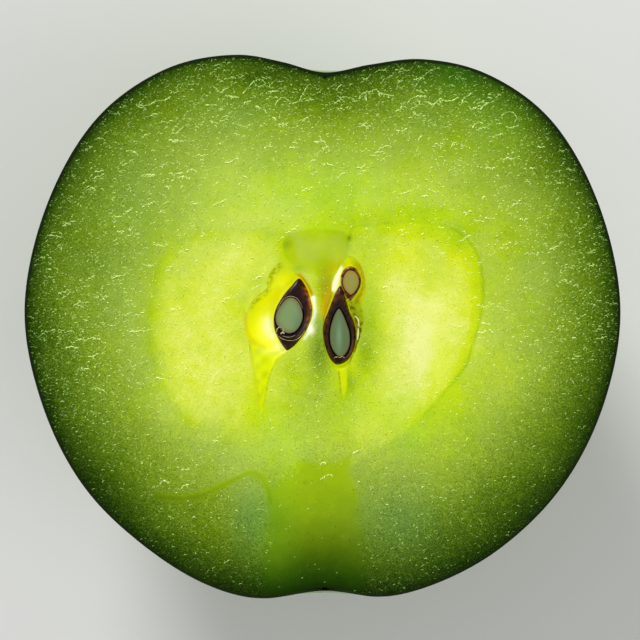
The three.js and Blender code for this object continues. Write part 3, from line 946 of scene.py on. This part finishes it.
# The kernels' outlines, clockwise from their stem ends.
LEFT_KERNEL = [
    (-3.9, 3.65), (-3.25, 3.35), (-2.75, 2.65), (-2.5, 1.9), (-2.44, 1.2), (-2.6, 0.5), (-2.97, -0.2),
    (-3.5, -0.7), (-4.25, -0.87), (-4.95, -0.6), (-5.52, -0.05), (-5.82, 0.6), (-5.84, 1.3), (-5.6, 2.05),
    (-5.12, 2.8), (-4.55, 3.42),
]
RIGHT_KERNEL = [
    (2.05, 2.25), (2.6, 1.4), (3.05, 0.25), (3.33, -0.65), (3.42, -1.55), (3.32, -2.5), (2.98, -3.25),
    (2.45, -3.75), (1.88, -3.65), (1.35, -3.05), (1.0, -2.2), (0.9, -1.25), (0.96, -0.3), (1.18, 0.6),
    (1.5, 1.5),
]
SMALL_KERNEL = [
    (3.41, 7.02), (4.04, 6.83), (4.45, 6.27), (4.57, 5.53), (4.42, 4.87), (4.1, 4.36), (3.54, 3.9),
    (3.0, 4.27), (2.62, 4.85), (2.47, 5.6), (2.67, 6.39), (3.04, 6.89),
]


def run_of(line):
    """How far along a line each of its points lies."""
    return np.concatenate([[0], np.cumsum(np.linalg.norm(np.diff(line, axis=0), axis=1))])


def even_loop(points):
    """A smooth loop through points, clockwise from its top, in even steps."""
    loop = closed_line(smooth_curve(points, 12))
    length = run_of(loop)
    at = np.linspace(0, length[-1], LOOP_POINTS, endpoint=False)
    loop = np.stack([np.interp(at, length, loop[:, 0]), np.interp(at, length, loop[:, 1])], 1)
    return np.roll(loop, -np.argmax(loop[:, 1]), axis=0)


def seed_coat(name, silhouette, section, slope_depth, deepest, thickness):
    """A bowl that widens from its cut edge to the silhouette, then closes below."""
    wide = even_loop(silhouette)
    top = even_loop(section)
    middle = wide.mean(0)

    def place(across, along):
        at = np.rint(across * LOOP_POINTS).astype(int) % LOOP_POINTS
        rise = np.clip(along / SLOPE_SHARE, 0, 1) * math.pi / 2
        fall = np.clip((along - SLOPE_SHARE) / (1 - SLOPE_SHARE), 0, 1) * math.pi / 2
        spread = np.sin(rise)[:, None]
        shrink = np.cos(fall)[:, None]
        points = top[at] + (wide[at] - top[at]) * spread
        points = middle + (points - middle) * shrink
        z = CUT - COAT_DROP - slope_depth * (1 - np.cos(rise)) - (deepest - slope_depth) * np.sin(fall)
        return np.column_stack([points, z])

    coat = formed_sheet(name, LOOP_POINTS, SEED_ROWS, place)
    in_edit_mode(coat, close_seams)
    applied(coat, "SOLIDIFY", thickness=thickness * MM, offset=-1)
    return coat


def seed_kernel(name, loop, deepest):
    """A smooth body inside the coat, its cut face very slightly crowned."""
    loop = even_loop(loop)
    middle = loop.mean(0)
    bpy.ops.object.select_all(action="DESELECT")
    bpy.ops.mesh.primitive_uv_sphere_add(segments=LOOP_POINTS, ring_count=SEED_ROWS, radius=1)
    kernel = bpy.context.object
    kernel.name = name
    unit = coordinates(kernel) * MM
    turn = np.arctan2(unit[:, 0], unit[:, 1]) % (2 * math.pi)
    out = loop - middle
    angles = np.arctan2(out[:, 0], out[:, 1]) % (2 * math.pi)
    order = np.argsort(angles)
    reach = np.interp(turn, angles[order], np.hypot(*out[order].T), period=2 * math.pi)
    radius = np.hypot(unit[:, 0], unit[:, 1])
    flat = np.stack([np.sin(turn), np.cos(turn)], 1) * (reach * radius**0.8)[:, None]
    top = KERNEL_CROWN * np.abs(unit[:, 2]) ** 0.4
    z = np.where(unit[:, 2] > 0, top, deepest * unit[:, 2])
    move_to(kernel, np.column_stack([middle + flat, CUT - KERNEL_DROP + z]))
    smooth_shaded(kernel)
    return kernel


def coat_finish(coat, silhouette, ambers):
    """Dark brown, and amber and red where painted light shines through the thin edge."""
    spots = coordinates(coat)[:, :2]
    edge = np.clip(signed_depth(even_loop(silhouette), spots), 0, None)
    # The thin edge, and a wider band round it, are painted amber and red with light that shines through.
    paint(coat, "thin", fading(edge, 0.22) * (0.3 + added(spots, ambers)))
    paint(coat, "rust", fading(edge, 0.7) * added(spots, ambers))
    wire, shader = finish_of(
        coat, coat.name, Roughness=0.3, Specular_IOR_Level=0.18, Coat_Weight=0.1, Coat_Roughness=0.1,
    )
    patchy = wire.noise(0.6, 3.0).between(0.35, 0.65)
    brown = wire.noise(0.5, 3.0).ramp([(0.3, colour(16, 4, 6)), (0.7, colour(34, 10, 14))])
    tone = brown.mixed(colour(115, 48, 14), (wire.attribute("rust") * (patchy * 0.7 + 0.3)).clipped())
    tone = tone.mixed(colour(195, 125, 28), (wire.attribute("thin") * patchy).clipped())
    feed(tone, shader, "Base Color")
    bumped(wire.noise(0.35, 3.0, 0.0, (1, 0.3, 1)), shader, 0.03, 0.5)
    smooth_shaded(coat)


def kernel_finish(kernel, loop, rim, middle, streak, streaks):
    """A pale middle in a rim of its own tone, with a soft streak and a thin dark border."""
    spots = coordinates(kernel)[:, :2]
    edge = np.clip(signed_depth(even_loop(loop), spots), 0, None)
    paint(kernel, "inner", step_at(edge, 0.45, 0.12))
    paint(kernel, "border", fading(edge, 0.07))
    paint(kernel, "streak", added(spots, streaks))
    wire, shader = finish_of(
        kernel, kernel.name, Roughness=0.4, Specular_IOR_Level=0.15, Subsurface_Weight=0.1,
        Subsurface_Radius=(1, 1, 0.8), Subsurface_Scale=0.4 * MM,
    )
    tone = wire.attribute("inner").clipped().ramp([(0.0, rim), (1.0, middle)])
    tone = tone.mixed(streak, wire.attribute("streak").clipped())
    tone = tone.mixed(colour(40, 30, 25), wire.attribute("border").clipped())
    feed(tone, shader, "Base Color")
    bumped(wire.noise(0.5, 2.0), shader, 0.02, 0.3)


# Each seed: its outlines; how deep its coat slopes and reaches, how thick it is, and how far its cut edge
# stands off from the kernel; the patches where painted light makes the coat amber; and the kernel's tones.
SEEDS = {
    "left": {
        "silhouette": LEFT_SEED, "kernel": LEFT_KERNEL,
        "slope": 0.9, "deepest": 2.4, "coat": 0.12, "grow": 0.16,
        "ambers": [(-1.6, 3.9, 0.9, 2.2, 1.1), (-1.5, 0.8, 0.7, 1.2, 0.8), (-2.3, -1.3, 0.8, 0.8, 0.3)],
        "rim": colour(122, 122, 82), "middle": colour(127, 153, 98), "streak": colour(108, 134, 98),
        "streaks": [(-3.1, 0.3, 0.6, 1.4, 0.8)],
    },
    "right": {
        "silhouette": RIGHT_SEED, "kernel": RIGHT_KERNEL,
        "slope": 0.8, "deepest": 2.3, "coat": 0.12, "grow": 0.16,
        "ambers": [(2.0, 3.8, 0.6, 1.0, 0.4), (0.4, 0.0, 0.4, 2.5, 0.3), (3.6, -3.2, 0.5, 0.8, 0.3)],
        "rim": colour(106, 116, 70), "middle": colour(92, 116, 78), "streak": colour(119, 150, 110),
        "streaks": [(2.05, -1.2, 0.36, 1.9, 0.95)],
    },
    "small": {
        "silhouette": SMALL_SEED, "kernel": SMALL_KERNEL,
        "slope": 0.25, "deepest": 1.7, "coat": 0.1, "grow": 0.06,
        "ambers": [
            (3.5, 7.2, 1.5, 1.0, 0.7), (2.4, 5.8, 0.6, 1.3, 1.3), (4.8, 5.3, 0.5, 1.8, 0.8),
            (3.5, 3.5, 0.7, 0.6, 0.8),
        ],
        "rim": colour(162, 136, 60), "middle": colour(150, 148, 68), "streak": colour(146, 154, 74),
        "streaks": [(3.6, 5.4, 0.6, 1.0, 0.5)],
    },
}
SECTION_STEP = 6  # one point in this many is enough for a coat's cut edge

for name, seed in SEEDS.items():
    section = grown(even_loop(seed["kernel"]), seed["grow"])[::SECTION_STEP]
    coat = seed_coat(
        f"seed_{name}_brown_coat", seed["silhouette"], section, seed["slope"], seed["deepest"], seed["coat"],
    )
    coat_finish(coat, seed["silhouette"], seed["ambers"])
    kernel = seed_kernel(f"seed_{name}_pale_kernel", seed["kernel"], seed["deepest"] - KERNEL_SHORTFALL)
    kernel_finish(kernel, seed["kernel"], seed["rim"], seed["middle"], seed["streak"], seed["streaks"])
    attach(coat, "root")
    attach(kernel, "root")
    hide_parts(f"seed_{name}_coat")
    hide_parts(f"seed_{name}_kernel")

# Shreds of the thin inner skin still cling to the cut coats: each a path and half its thickness.
SHREDS = [
    ([(-5.7, 1.9), (-5.2, 2.9), (-4.6, 3.55), (-3.9, 3.75), (-3.2, 3.5), (-2.7, 2.8), (-2.45, 2.2)], 0.03),
    ([(-5.9, -0.7), (-5.5, -1.2), (-4.8, -1.6), (-4.0, -1.75), (-3.2, -1.6), (-2.6, -1.1), (-2.15, -0.5)],
     0.035),
    ([(-5.0, -1.15), (-4.5, -1.3), (-3.9, -1.3), (-3.4, -1.1)], 0.03),
    ([(-5.7, -0.75), (-5.65, -0.35), (-5.35, -0.1), (-5.0, -0.15), (-4.85, -0.5), (-5.0, -0.85)], 0.07),
    ([(-5.25, -0.95), (-4.95, -0.75), (-4.7, -0.9)], 0.12),
    ([(1.4, -3.95), (1.75, -3.75), (2.1, -3.85), (2.4, -3.75), (2.8, -3.9)], 0.06),
    ([(3.95, 1.35), (4.3, 1.05), (4.5, 0.5), (4.5, -0.1)], 0.1),
    ([(4.45, -0.2), (4.42, -0.9), (4.3, -1.7)], 0.12),
]


def thread(path, half_width):
    """A thin round thread along a flat path, tapering to both ends."""
    line = along_line(path, 8)
    ahead = np.gradient(line, axis=0)
    side = np.stack([-ahead[:, 1], ahead[:, 0]], 1) / np.linalg.norm(ahead, axis=1)[:, None]

    def place(across, along):
        at = np.rint(along * (len(line) - 1)).astype(int)
        turn = across * 2 * math.pi
        thick = half_width * (0.15 + 0.85 * np.sin(math.pi * along) ** 0.5)
        flat = line[at] + side[at] * (thick * np.cos(turn))[:, None]
        return np.column_stack([flat, CUT - COAT_DROP + thick * np.sin(turn)])

    piece = formed_sheet("shred", 10, len(line) - 1, place)
    in_edit_mode(piece, close_seams)
    return piece


shreds = joined("inner_skin_shreds", [thread(path, wide) for path, wide in SHREDS])
paint(shreds, "outer", step_at(coordinates(shreds)[:, 0], 3.6, 0.1))
wire, shader = finish_of(shreds, "inner_skin_shreds", Roughness=0.2, Coat_Weight=0.5)
tone = wire.noise(0.8).ramp([(0.35, colour(150, 118, 66)), (0.65, colour(205, 200, 150))])
tone = tone.mixed(colour(225, 228, 150), wire.attribute("outer").clipped())
feed(tone, shader, "Base Color")
smooth_shaded(shreds)
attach(shreds, "root")


# ---- Torn cells ---------------------------------------------------------------------------------------
# Where the knife tore the flesh, small wet curls of cell wall stand up from the face and catch the light.
# The largest hang together in chains, and between them the face is strewn with crumbs.
TORN_CHAINS = [
    [(-9.9, 28.9), (-9.5, 29.4), (-9.0, 29.9), (-8.4, 30.5), (-8.0, 30.7), (-7.5, 30.6), (-7.0, 30.1)],
    [(-6.6, 29.7), (-6.4, 30.1), (-6.0, 30.4), (-5.4, 30.4), (-4.7, 30.5)],
    [(-5.9, 27.4), (-5.5, 28.0), (-4.9, 28.4), (-4.3, 28.1), (-3.7, 27.7), (-3.0, 27.9), (-2.5, 28.7),
     (-1.8, 29.9), (-1.4, 30.1)],
    [(1.2, 29.5), (1.8, 29.4), (2.0, 29.7), (2.5, 30.1)],
    [(-13.7, 29.9), (-13.1, 29.4), (-12.6, 29.0), (-12.2, 29.4), (-11.6, 29.6)],
    [(-14.6, 27.5), (-13.7, 27.5), (-13.1, 27.4)], [(-12.5, 26.0), (-12.0, 26.1), (-11.2, 25.9)],
    [(-14.0, 25.5), (-13.5, 25.3), (-13.0, 25.1)], [(-8.4, 27.4), (-7.8, 27.1), (-7.3, 26.9), (-6.8, 26.5)],
    [(-6.3, 26.0), (-5.8, 25.6)], [(-5.5, 25.1), (-4.9, 25.0), (-4.3, 25.1)],
    [(0.1, 21.8), (0.3, 22.2), (0.7, 22.2), (0.9, 21.8)],
    [(0.1, 19.9), (0.4, 20.3), (0.8, 20.1), (1.3, 19.9)],
    [(-12.1, 20.4), (-11.5, 20.3), (-10.9, 20.7), (-10.4, 20.8)],
    [(-16.9, 19.1), (-16.5, 19.4), (-16.0, 19.4), (-15.6, 19.2)], [(2.0, 18.4), (2.3, 18.9), (2.8, 19.1)],
    [(4.4, 27.9), (4.7, 28.6), (5.3, 29.0), (6.1, 29.2), (6.6, 29.4), (7.1, 29.0), (8.1, 28.7), (8.9, 28.6)],
    [(5.4, 29.0), (5.4, 28.0)], [(7.0, 29.0), (7.1, 28.6)], [(7.6, 28.9), (7.6, 28.4)],
    [(8.3, 28.7), (8.1, 28.4)], [(10.5, 27.7), (11.0, 28.2), (11.6, 28.5), (12.2, 28.6), (12.9, 28.5)],
    [(13.3, 27.9), (13.7, 27.6), (14.2, 27.9), (14.7, 28.2), (15.3, 28.0), (16.0, 28.0)],
    [(17.3, 27.7), (17.6, 28.4), (18.1, 28.6), (18.6, 28.9)], [(17.5, 27.9), (18.1, 27.8)],
    [(13.4, 27.7), (13.7, 27.3), (14.1, 27.7), (14.6, 27.4)], [(11.7, 28.3), (11.9, 27.9), (12.2, 28.0)],
    [(16.0, 28.0), (16.4, 28.2), (16.9, 28.4)], [(19.3, 27.7), (19.9, 27.8), (20.5, 27.7)],
    [(18.2, 27.1), (18.6, 26.9), (18.9, 27.2), (19.5, 26.9), (19.9, 27.2)],
    [(18.1, 27.3), (18.7, 27.0), (19.3, 27.3), (19.9, 27.3), (20.5, 27.7), (21.3, 27.9)],
    [(11.6, 29.9), (12.1, 30.6), (12.6, 31.1), (13.2, 31.6), (14.1, 32.0), (14.6, 32.0)],
    [(7.3, 30.1), (7.6, 30.6), (8.1, 30.9), (8.6, 31.1)], [(9.2, 29.9), (9.6, 30.4), (10.1, 30.5)],
    [(22.2, 26.0), (22.5, 26.4), (23.0, 26.6), (23.7, 26.4), (24.1, 25.9)],
    [(22.7, 24.8), (23.3, 24.6), (23.9, 24.8), (24.4, 24.9)],
    [(18.6, 24.6), (18.9, 25.0), (19.4, 25.4), (19.9, 25.1)],
    [(16.0, 22.3), (16.3, 22.7), (16.8, 22.7), (17.4, 22.4)],
    [(7.0, 21.9), (7.5, 22.2), (8.0, 22.4), (8.6, 22.3)], [(9.0, 26.6), (9.5, 26.9), (9.9, 27.3)],
    [(22.4, 20.7), (22.9, 20.9), (23.5, 20.7), (24.1, 20.9)], [(20.2, 19.6), (20.8, 19.7), (21.4, 19.6)],
    [(9.2, 24.3), (9.9, 24.3), (10.5, 24.5)], [(4.2, 19.7), (4.8, 19.7), (5.4, 20.2)],
    [(11.9, 23.0), (12.1, 23.4), (12.5, 23.7)], [(4.9, 30.9), (5.4, 30.7), (6.0, 31.2)],
    [(9.0, 32.6), (9.7, 32.1), (10.2, 31.8), (10.9, 31.8)],
    [(-23.2, 27.6), (-22.3, 27.4), (-21.4, 27.6), (-20.8, 27.9), (-20.2, 28.0), (-19.6, 28.1), (-18.8, 28.5)],
    [(-18.8, 23.9), (-18.2, 24.0), (-17.7, 24.4), (-17.2, 24.9)],
    [(-24.4, 21.7), (-23.8, 21.8), (-23.2, 21.5)], [(-17.9, 18.4), (-17.3, 18.6), (-16.7, 18.4)],
    [(-26.3, 5.9), (-25.6, 6.1), (-25.0, 6.3), (-24.4, 6.5)],
    [(-30.6, -1.4), (-29.9, -1.7), (-29.1, -1.6), (-28.4, -1.4), (-27.6, -1.7)],
    [(-32.0, -2.7), (-31.1, -2.5), (-30.4, -2.8)],
    [(-30.6, -5.4), (-30.1, -5.2), (-29.5, -5.2), (-28.9, -5.4)],
    [(-29.2, -3.8), (-28.6, -3.8), (-27.9, -3.4)], [(-31.0, 2.5), (-30.5, 2.8), (-30.1, 3.0)],
    [(-24.1, -0.7), (-23.2, -0.6), (-22.0, -0.6)], [(-17.7, -20.3), (-17.2, -19.8), (-16.6, -19.7)],
    [(-17.6, -17.8), (-16.9, -17.8), (-16.5, -17.7)], [(-20.2, -19.6), (-19.8, -19.2), (-19.4, -19.3)],
    [(-0.3, -19.1), (0.3, -18.7), (0.9, -18.4), (1.3, -18.7)], [(3.7, -15.8), (4.2, -15.6), (4.5, -15.5)],
    [(-0.3, -17.2), (0.1, -16.9), (0.4, -17.1)],
]
LOOSE_CHAINS = 200
SINGLE_CURLS = 8000
CRUMBS = 30000
CURL_POINTS = 5  # along each curl, and along each link of a chain
LINK = 0.45  # the length of a marked chain's links
LOOSE_LINK = 0.34  # from link to link of the others
FACE = CUT - FACE_DROP
ROOT = FACE - 0.03  # the torn cells start this little below the face
RIM_MARGIN = 0.25  # their middles lie this far inside the rim
END_MARGIN = 0.15  # and their ends this far
CHAMBER_MARGIN = 0.4  # they keep this far from the chambers
FACE_REACH = (37, 34)  # half the width and length of the box that their places are drawn in
TRIES = 6  # places drawn for each one that is wanted
SHADOW_SPREAD = 1.6  # how much wider a ridge is on its shadow side
SHADOW = 0.22  # how much darker it is there
UPPER_FACE = 6  # curls above this height on the face are one piece, and those below it another
chance = np.random.default_rng(11)


def strewn(name, places, faces):
    """A piece made of many small bodies, from all their corners and faces."""
    mesh = bpy.data.meshes.new(name)
    mesh.from_pydata((places * MM).tolist(), [], faces)
    piece = bpy.data.objects.new(name, mesh)
    bpy.context.scene.collection.objects.link(piece)
    in_edit_mode(piece, lambda: bpy.ops.mesh.normals_make_consistent(inside=False))
    return piece


def ridges(name, lines, half_widths, shine):
    """Small tapered ridges along flat lines, all with the same number of points."""
    count, points = lines.shape[:2]
    along = np.gradient(lines, axis=1)
    side = np.stack([-along[..., 1], along[..., 0]], 2)
    side /= np.maximum(np.linalg.norm(side, axis=2), 1e-9)[..., None]
    share = np.linspace(0, 1, points)
    taper = (0.3 + 0.7 * np.sin(math.pi * (share + 0.08) / 1.16)) * half_widths[:, None]
    taper = taper * chance.uniform(0.5, 1.6, taper.shape)
    foot = np.full((count, points), ROOT)
    crest = np.dstack([lines, FACE + 1.1 * taper])
    lit_foot = np.dstack([lines + side * taper[..., None], foot])
    dark_foot = np.dstack([lines - SHADOW_SPREAD * side * taper[..., None], foot])
    first = ((np.arange(count) * points)[:, None] + np.arange(points - 1)).ravel() * 3
    start = np.arange(count) * points * 3
    end = start + (points - 1) * 3
    faces = []
    for a, b in ((0, 1), (1, 2), (2, 0)):
        faces += np.stack([first + a, first + b, first + 3 + b, first + 3 + a], 1).tolist()
    faces += np.stack([start + 2, start + 1, start], 1).tolist()
    faces += np.stack([end, end + 1, end + 2], 1).tolist()
    piece = strewn(name, np.stack([lit_foot, crest, dark_foot], 2).reshape(-1, 3), faces)
    # The shadow side of each ridge is a painted shadow, darker than the flesh.
    shadow_side = np.tile([0, 0, 1], count * points)
    paint(piece, "light", np.repeat(light_in(lines[:, points // 2]), 3 * points) - SHADOW * shadow_side)
    paint(piece, "shine", np.repeat(shine, 3 * points) * (1 - shadow_side))
    return piece


def torn_finish(piece, name):
    """The flesh's colour where a cell is dull, and a painted glint, pale and faintly glowing, where it
    shines.
    """
    wire, shader = finish_of(
        piece, name, Roughness=0.35, Specular_IOR_Level=0.2, Coat_Weight=0.1, Coat_Roughness=0.1,
        Emission_Strength=1.0,
    )
    dull = flesh_tone(wire.attribute("light"), 0.2)
    pale = wire.attribute("light").clipped().ramp([
        (0.06, colour(72, 112, 42)), (0.2, colour(122, 164, 78)), (0.37, colour(168, 210, 106)),
        (0.53, colour(206, 240, 136)), (0.69, colour(230, 250, 154)), (0.86, colour(244, 252, 165)),
    ])
    # The pale tone and the faint emission are painted glints.
    tone = dull.mixed(pale, wire.attribute("shine").clipped())
    feed(tone, shader, "Base Color")
    feed(tone.mixed(BLACK, 1 - wire.attribute("shine") * 0.2), shader, "Emission Color")
    smooth_shaded(piece, 80)
    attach(piece, "root")


def on_flesh(at, margin):
    """Whether spots lie this far inside the rim and clear of the chambers."""
    found = signed_depth(outline, at) > margin
    for loop in (left_chamber, right_chamber):
        found &= signed_depth(loop, at) < -CHAMBER_MARGIN
    return found


def scattered(count, thickness_at):
    """Random spots on the face, as dense as thickness_at says."""
    tried = np.column_stack([chance.uniform(-reach, reach, TRIES * count) for reach in FACE_REACH])
    tried = tried[chance.uniform(0, 1, len(tried)) < thickness_at(tried)]
    return tried[on_flesh(tried, RIM_MARGIN)][:count]


def smooth_parts(at):
    """1 where the knife left the face smooth: on the pith, the core, the bundle and the column."""
    pith = step_at(signed_depth(smooth_curve(PITH_CAP, 6), at), -0.3, 0.3)
    core = 0.6 * patch(at, 0, 1, 9, 9)
    bundle = near(line_distance(CALYX_BUNDLE, at), 0.5)
    return np.max([pith, core, bundle, 0.9 * column_at(at)], axis=0)


def curl_thickness(at):
    """How close together the curls lie: closest where the flesh is dark, and far apart below the core."""
    rough = 0.22 + 0.78 * step_at(light_in(at), 0.8, -0.05)
    return rough * (1 - 0.75 * lower_part(at)) * (1 - smooth_parts(at))


def crumb_thickness(at):
    """The same for the crumbs, which thin out less below the core."""
    rough = 0.25 + 0.75 * step_at(light_in(at), 0.8, -0.06)
    return rough * (1 - smooth_parts(at)) * (0.55 + 0.45 * step_at(at[:, 1], -6, -4))


def bent(starts, headings, turns, lengths):
    """Arcs from starts, which set off at headings and turn by turns, in radians, on their way."""
    share = np.linspace(0, 1, CURL_POINTS)
    heading = headings[:, None] + turns[:, None] * share
    steps = np.stack([np.cos(heading), np.sin(heading)], 2) * (lengths / (CURL_POINTS - 1))[:, None, None]
    return starts[:, None] + np.cumsum(steps, 1) - steps.sum(1)[:, None] / 2


def one_bent(start, heading, turn, length):
    """One such arc."""
    return bent(*(np.array([value]) for value in (start, heading, turn, length)))[0]


def chained(path):
    """Short overlapping ridges along a path, with spurs below it, for one large tear."""
    path = along_line(path, 8)
    length = run_of(path)
    pieces = max(1, round(length[-1] / LINK))
    lines = []
    for piece in range(pieces):
        at = np.linspace(piece, piece + chance.uniform(0.9, 1.4), CURL_POINTS) / pieces * length[-1]
        line = np.stack([np.interp(at, length, path[:, 0]), np.interp(at, length, path[:, 1])], 1)
        line[:, 1] += chance.uniform(0.02, 0.12) * np.sin(np.linspace(0, math.pi, CURL_POINTS))
        lines.append(line + chance.normal(0, 0.025, 2))
        if chance.uniform() < 0.45:
            spur = math.radians(chance.normal(-110, 25))
            spur_from = line[CURL_POINTS // 2] + 0.12 * np.array([math.cos(spur), math.sin(spur)])
            turn = chance.uniform(-1, 1)
            lines.append(one_bent(spur_from, spur, turn, chance.uniform(0.2, 0.4)))
    return lines


lines = []
for path in TORN_CHAINS:
    lines += chained(path)
for x, y in scattered(LOOSE_CHAINS, lambda at: curl_thickness(at) * 0.5 * step_at(at[:, 1], -4, 3)):
    heading = math.radians(chance.normal(10, 12))
    links = chance.integers(2, 6)
    for link in range(links):
        along = (link - links / 2) * LOOSE_LINK
        start = [x + along * math.cos(heading), y + along * math.sin(heading) + chance.normal(0, 0.1)]
        rise = chance.uniform(0.6, 1.7)
        lines.append(one_bent(start, heading + rise, -2 * rise, chance.uniform(0.3, 0.65)))
chain_count = len(lines)
# Between the chains lie single curls, each with its hollow side down.
at = scattered(SINGLE_CURLS, curl_thickness)
count = len(at)
rise = chance.normal(1.0, 0.45, count)
lean = np.radians(chance.normal(22, 30, count))
length = chance.uniform(0.15, 0.38, count) * chance.choice([1, 1, 1, 1.7], count)
singles = bent(at, lean + rise, -1.9 * rise, length)
lines = np.concatenate([np.array(lines), singles])
within = on_flesh(lines.reshape(-1, 2), END_MARGIN).reshape(len(lines), -1).all(1)
chains = np.arange(len(lines)) < chain_count
upper = lines[:, 0, 1] > UPPER_FACE
for name, chosen, widths, shines in (
    ("torn_cell_chains", within & chains, (0.045, 0.09), (0.7, 1.1)),
    ("torn_cell_curls_upper", within & ~chains & upper, (0.033, 0.062), (0.2, 1.2)),
    ("torn_cell_curls_lower", within & ~chains & ~upper, (0.033, 0.062), (0.2, 1.2)),
):
    count = chosen.sum()
    shine = np.minimum(chance.uniform(*shines, count), 1)
    torn_finish(ridges(name, lines[chosen], chance.uniform(*widths, count), shine), name)

# The crumbs are tiny four-sided pyramids. Half of them are dull, in painted shade a little darker than the
# flesh, and the others hold painted glints.
at = scattered(CRUMBS, crumb_thickness)
count = len(at)
heading = np.radians(chance.normal(20, 45, count))
ahead = np.stack([np.cos(heading), np.sin(heading)], 1) * chance.uniform(0.05, 0.14, count)[:, None]
aside = np.stack([-np.sin(heading), np.cos(heading)], 1) * chance.uniform(0.04, 0.08, count)[:, None]
corners = np.stack([at + ahead, at + aside, at - ahead, at - aside, at + 0.3 * aside], 1)
heights = np.full((count, 5), ROOT)
heights[:, 4] = FACE + chance.uniform(0.03, 0.08, count)
first = np.arange(count)[:, None] * 5
sides = ((0, 1, 4), (1, 2, 4), (2, 3, 4), (3, 0, 4), (2, 1, 0), (3, 2, 0))
faces = np.concatenate([first + side for side in sides]).tolist()
crumbs = strewn("torn_cell_crumbs", np.dstack([corners, heights]).reshape(-1, 3), faces)
dark = chance.uniform(0, 1, count) < 0.5
paint(crumbs, "light", np.repeat(light_in(at) - 0.13 * dark, 5))
shine = chance.gamma(1.3, 0.3, count) * (1 - 0.5 * step_at(at[:, 1], -7, -2))
paint(crumbs, "shine", np.repeat(np.clip(shine, 0.05, 1) * ~dark, 5))
torn_finish(crumbs, "loose_cells")


# ---- Floor and light ----------------------------------------------------------------------------------
# A plain pale floor under soft studio lamps, with a dim even surround.
bpy.ops.object.select_all(action="DESELECT")
bpy.ops.mesh.primitive_plane_add(size=6, location=(0, 0, 0))
floor = bpy.context.object
floor.name = "floor"
wire, shader = finish_of(floor, "pale_floor", Roughness=0.8)
cloudy = wire.noise(400.0).ramp([(0.0, colour(214, 214, 212)), (1.0, colour(222, 222, 220))])
feed(cloudy, shader, "Base Color")

world = bpy.data.worlds.new("surround")
world.use_nodes = True
surround = world.node_tree.nodes["Background"]
surround.inputs["Color"].default_value = (1, 1, 1, 1)
surround.inputs["Strength"].default_value = 0.45
bpy.context.scene.world = world
bpy.context.scene.view_settings.view_transform = "Standard"


def lamp(name, place, size, power):
    """A square soft lamp that faces the fruit: its place and size in millimetres, and its power in watts."""
    bpy.ops.object.light_add(type="AREA", location=[c * MM for c in place])
    light = bpy.context.object
    light.name = name
    light.data.size = size * MM
    light.data.energy = power
    light.rotation_euler = (-light.location).to_track_quat("-Z", "Y").to_euler()


lamp("key_lamp", (-250, 620, 420), 260, 5.0)
lamp("fill_lamp", (520, -250, 420), 500, 1.6)
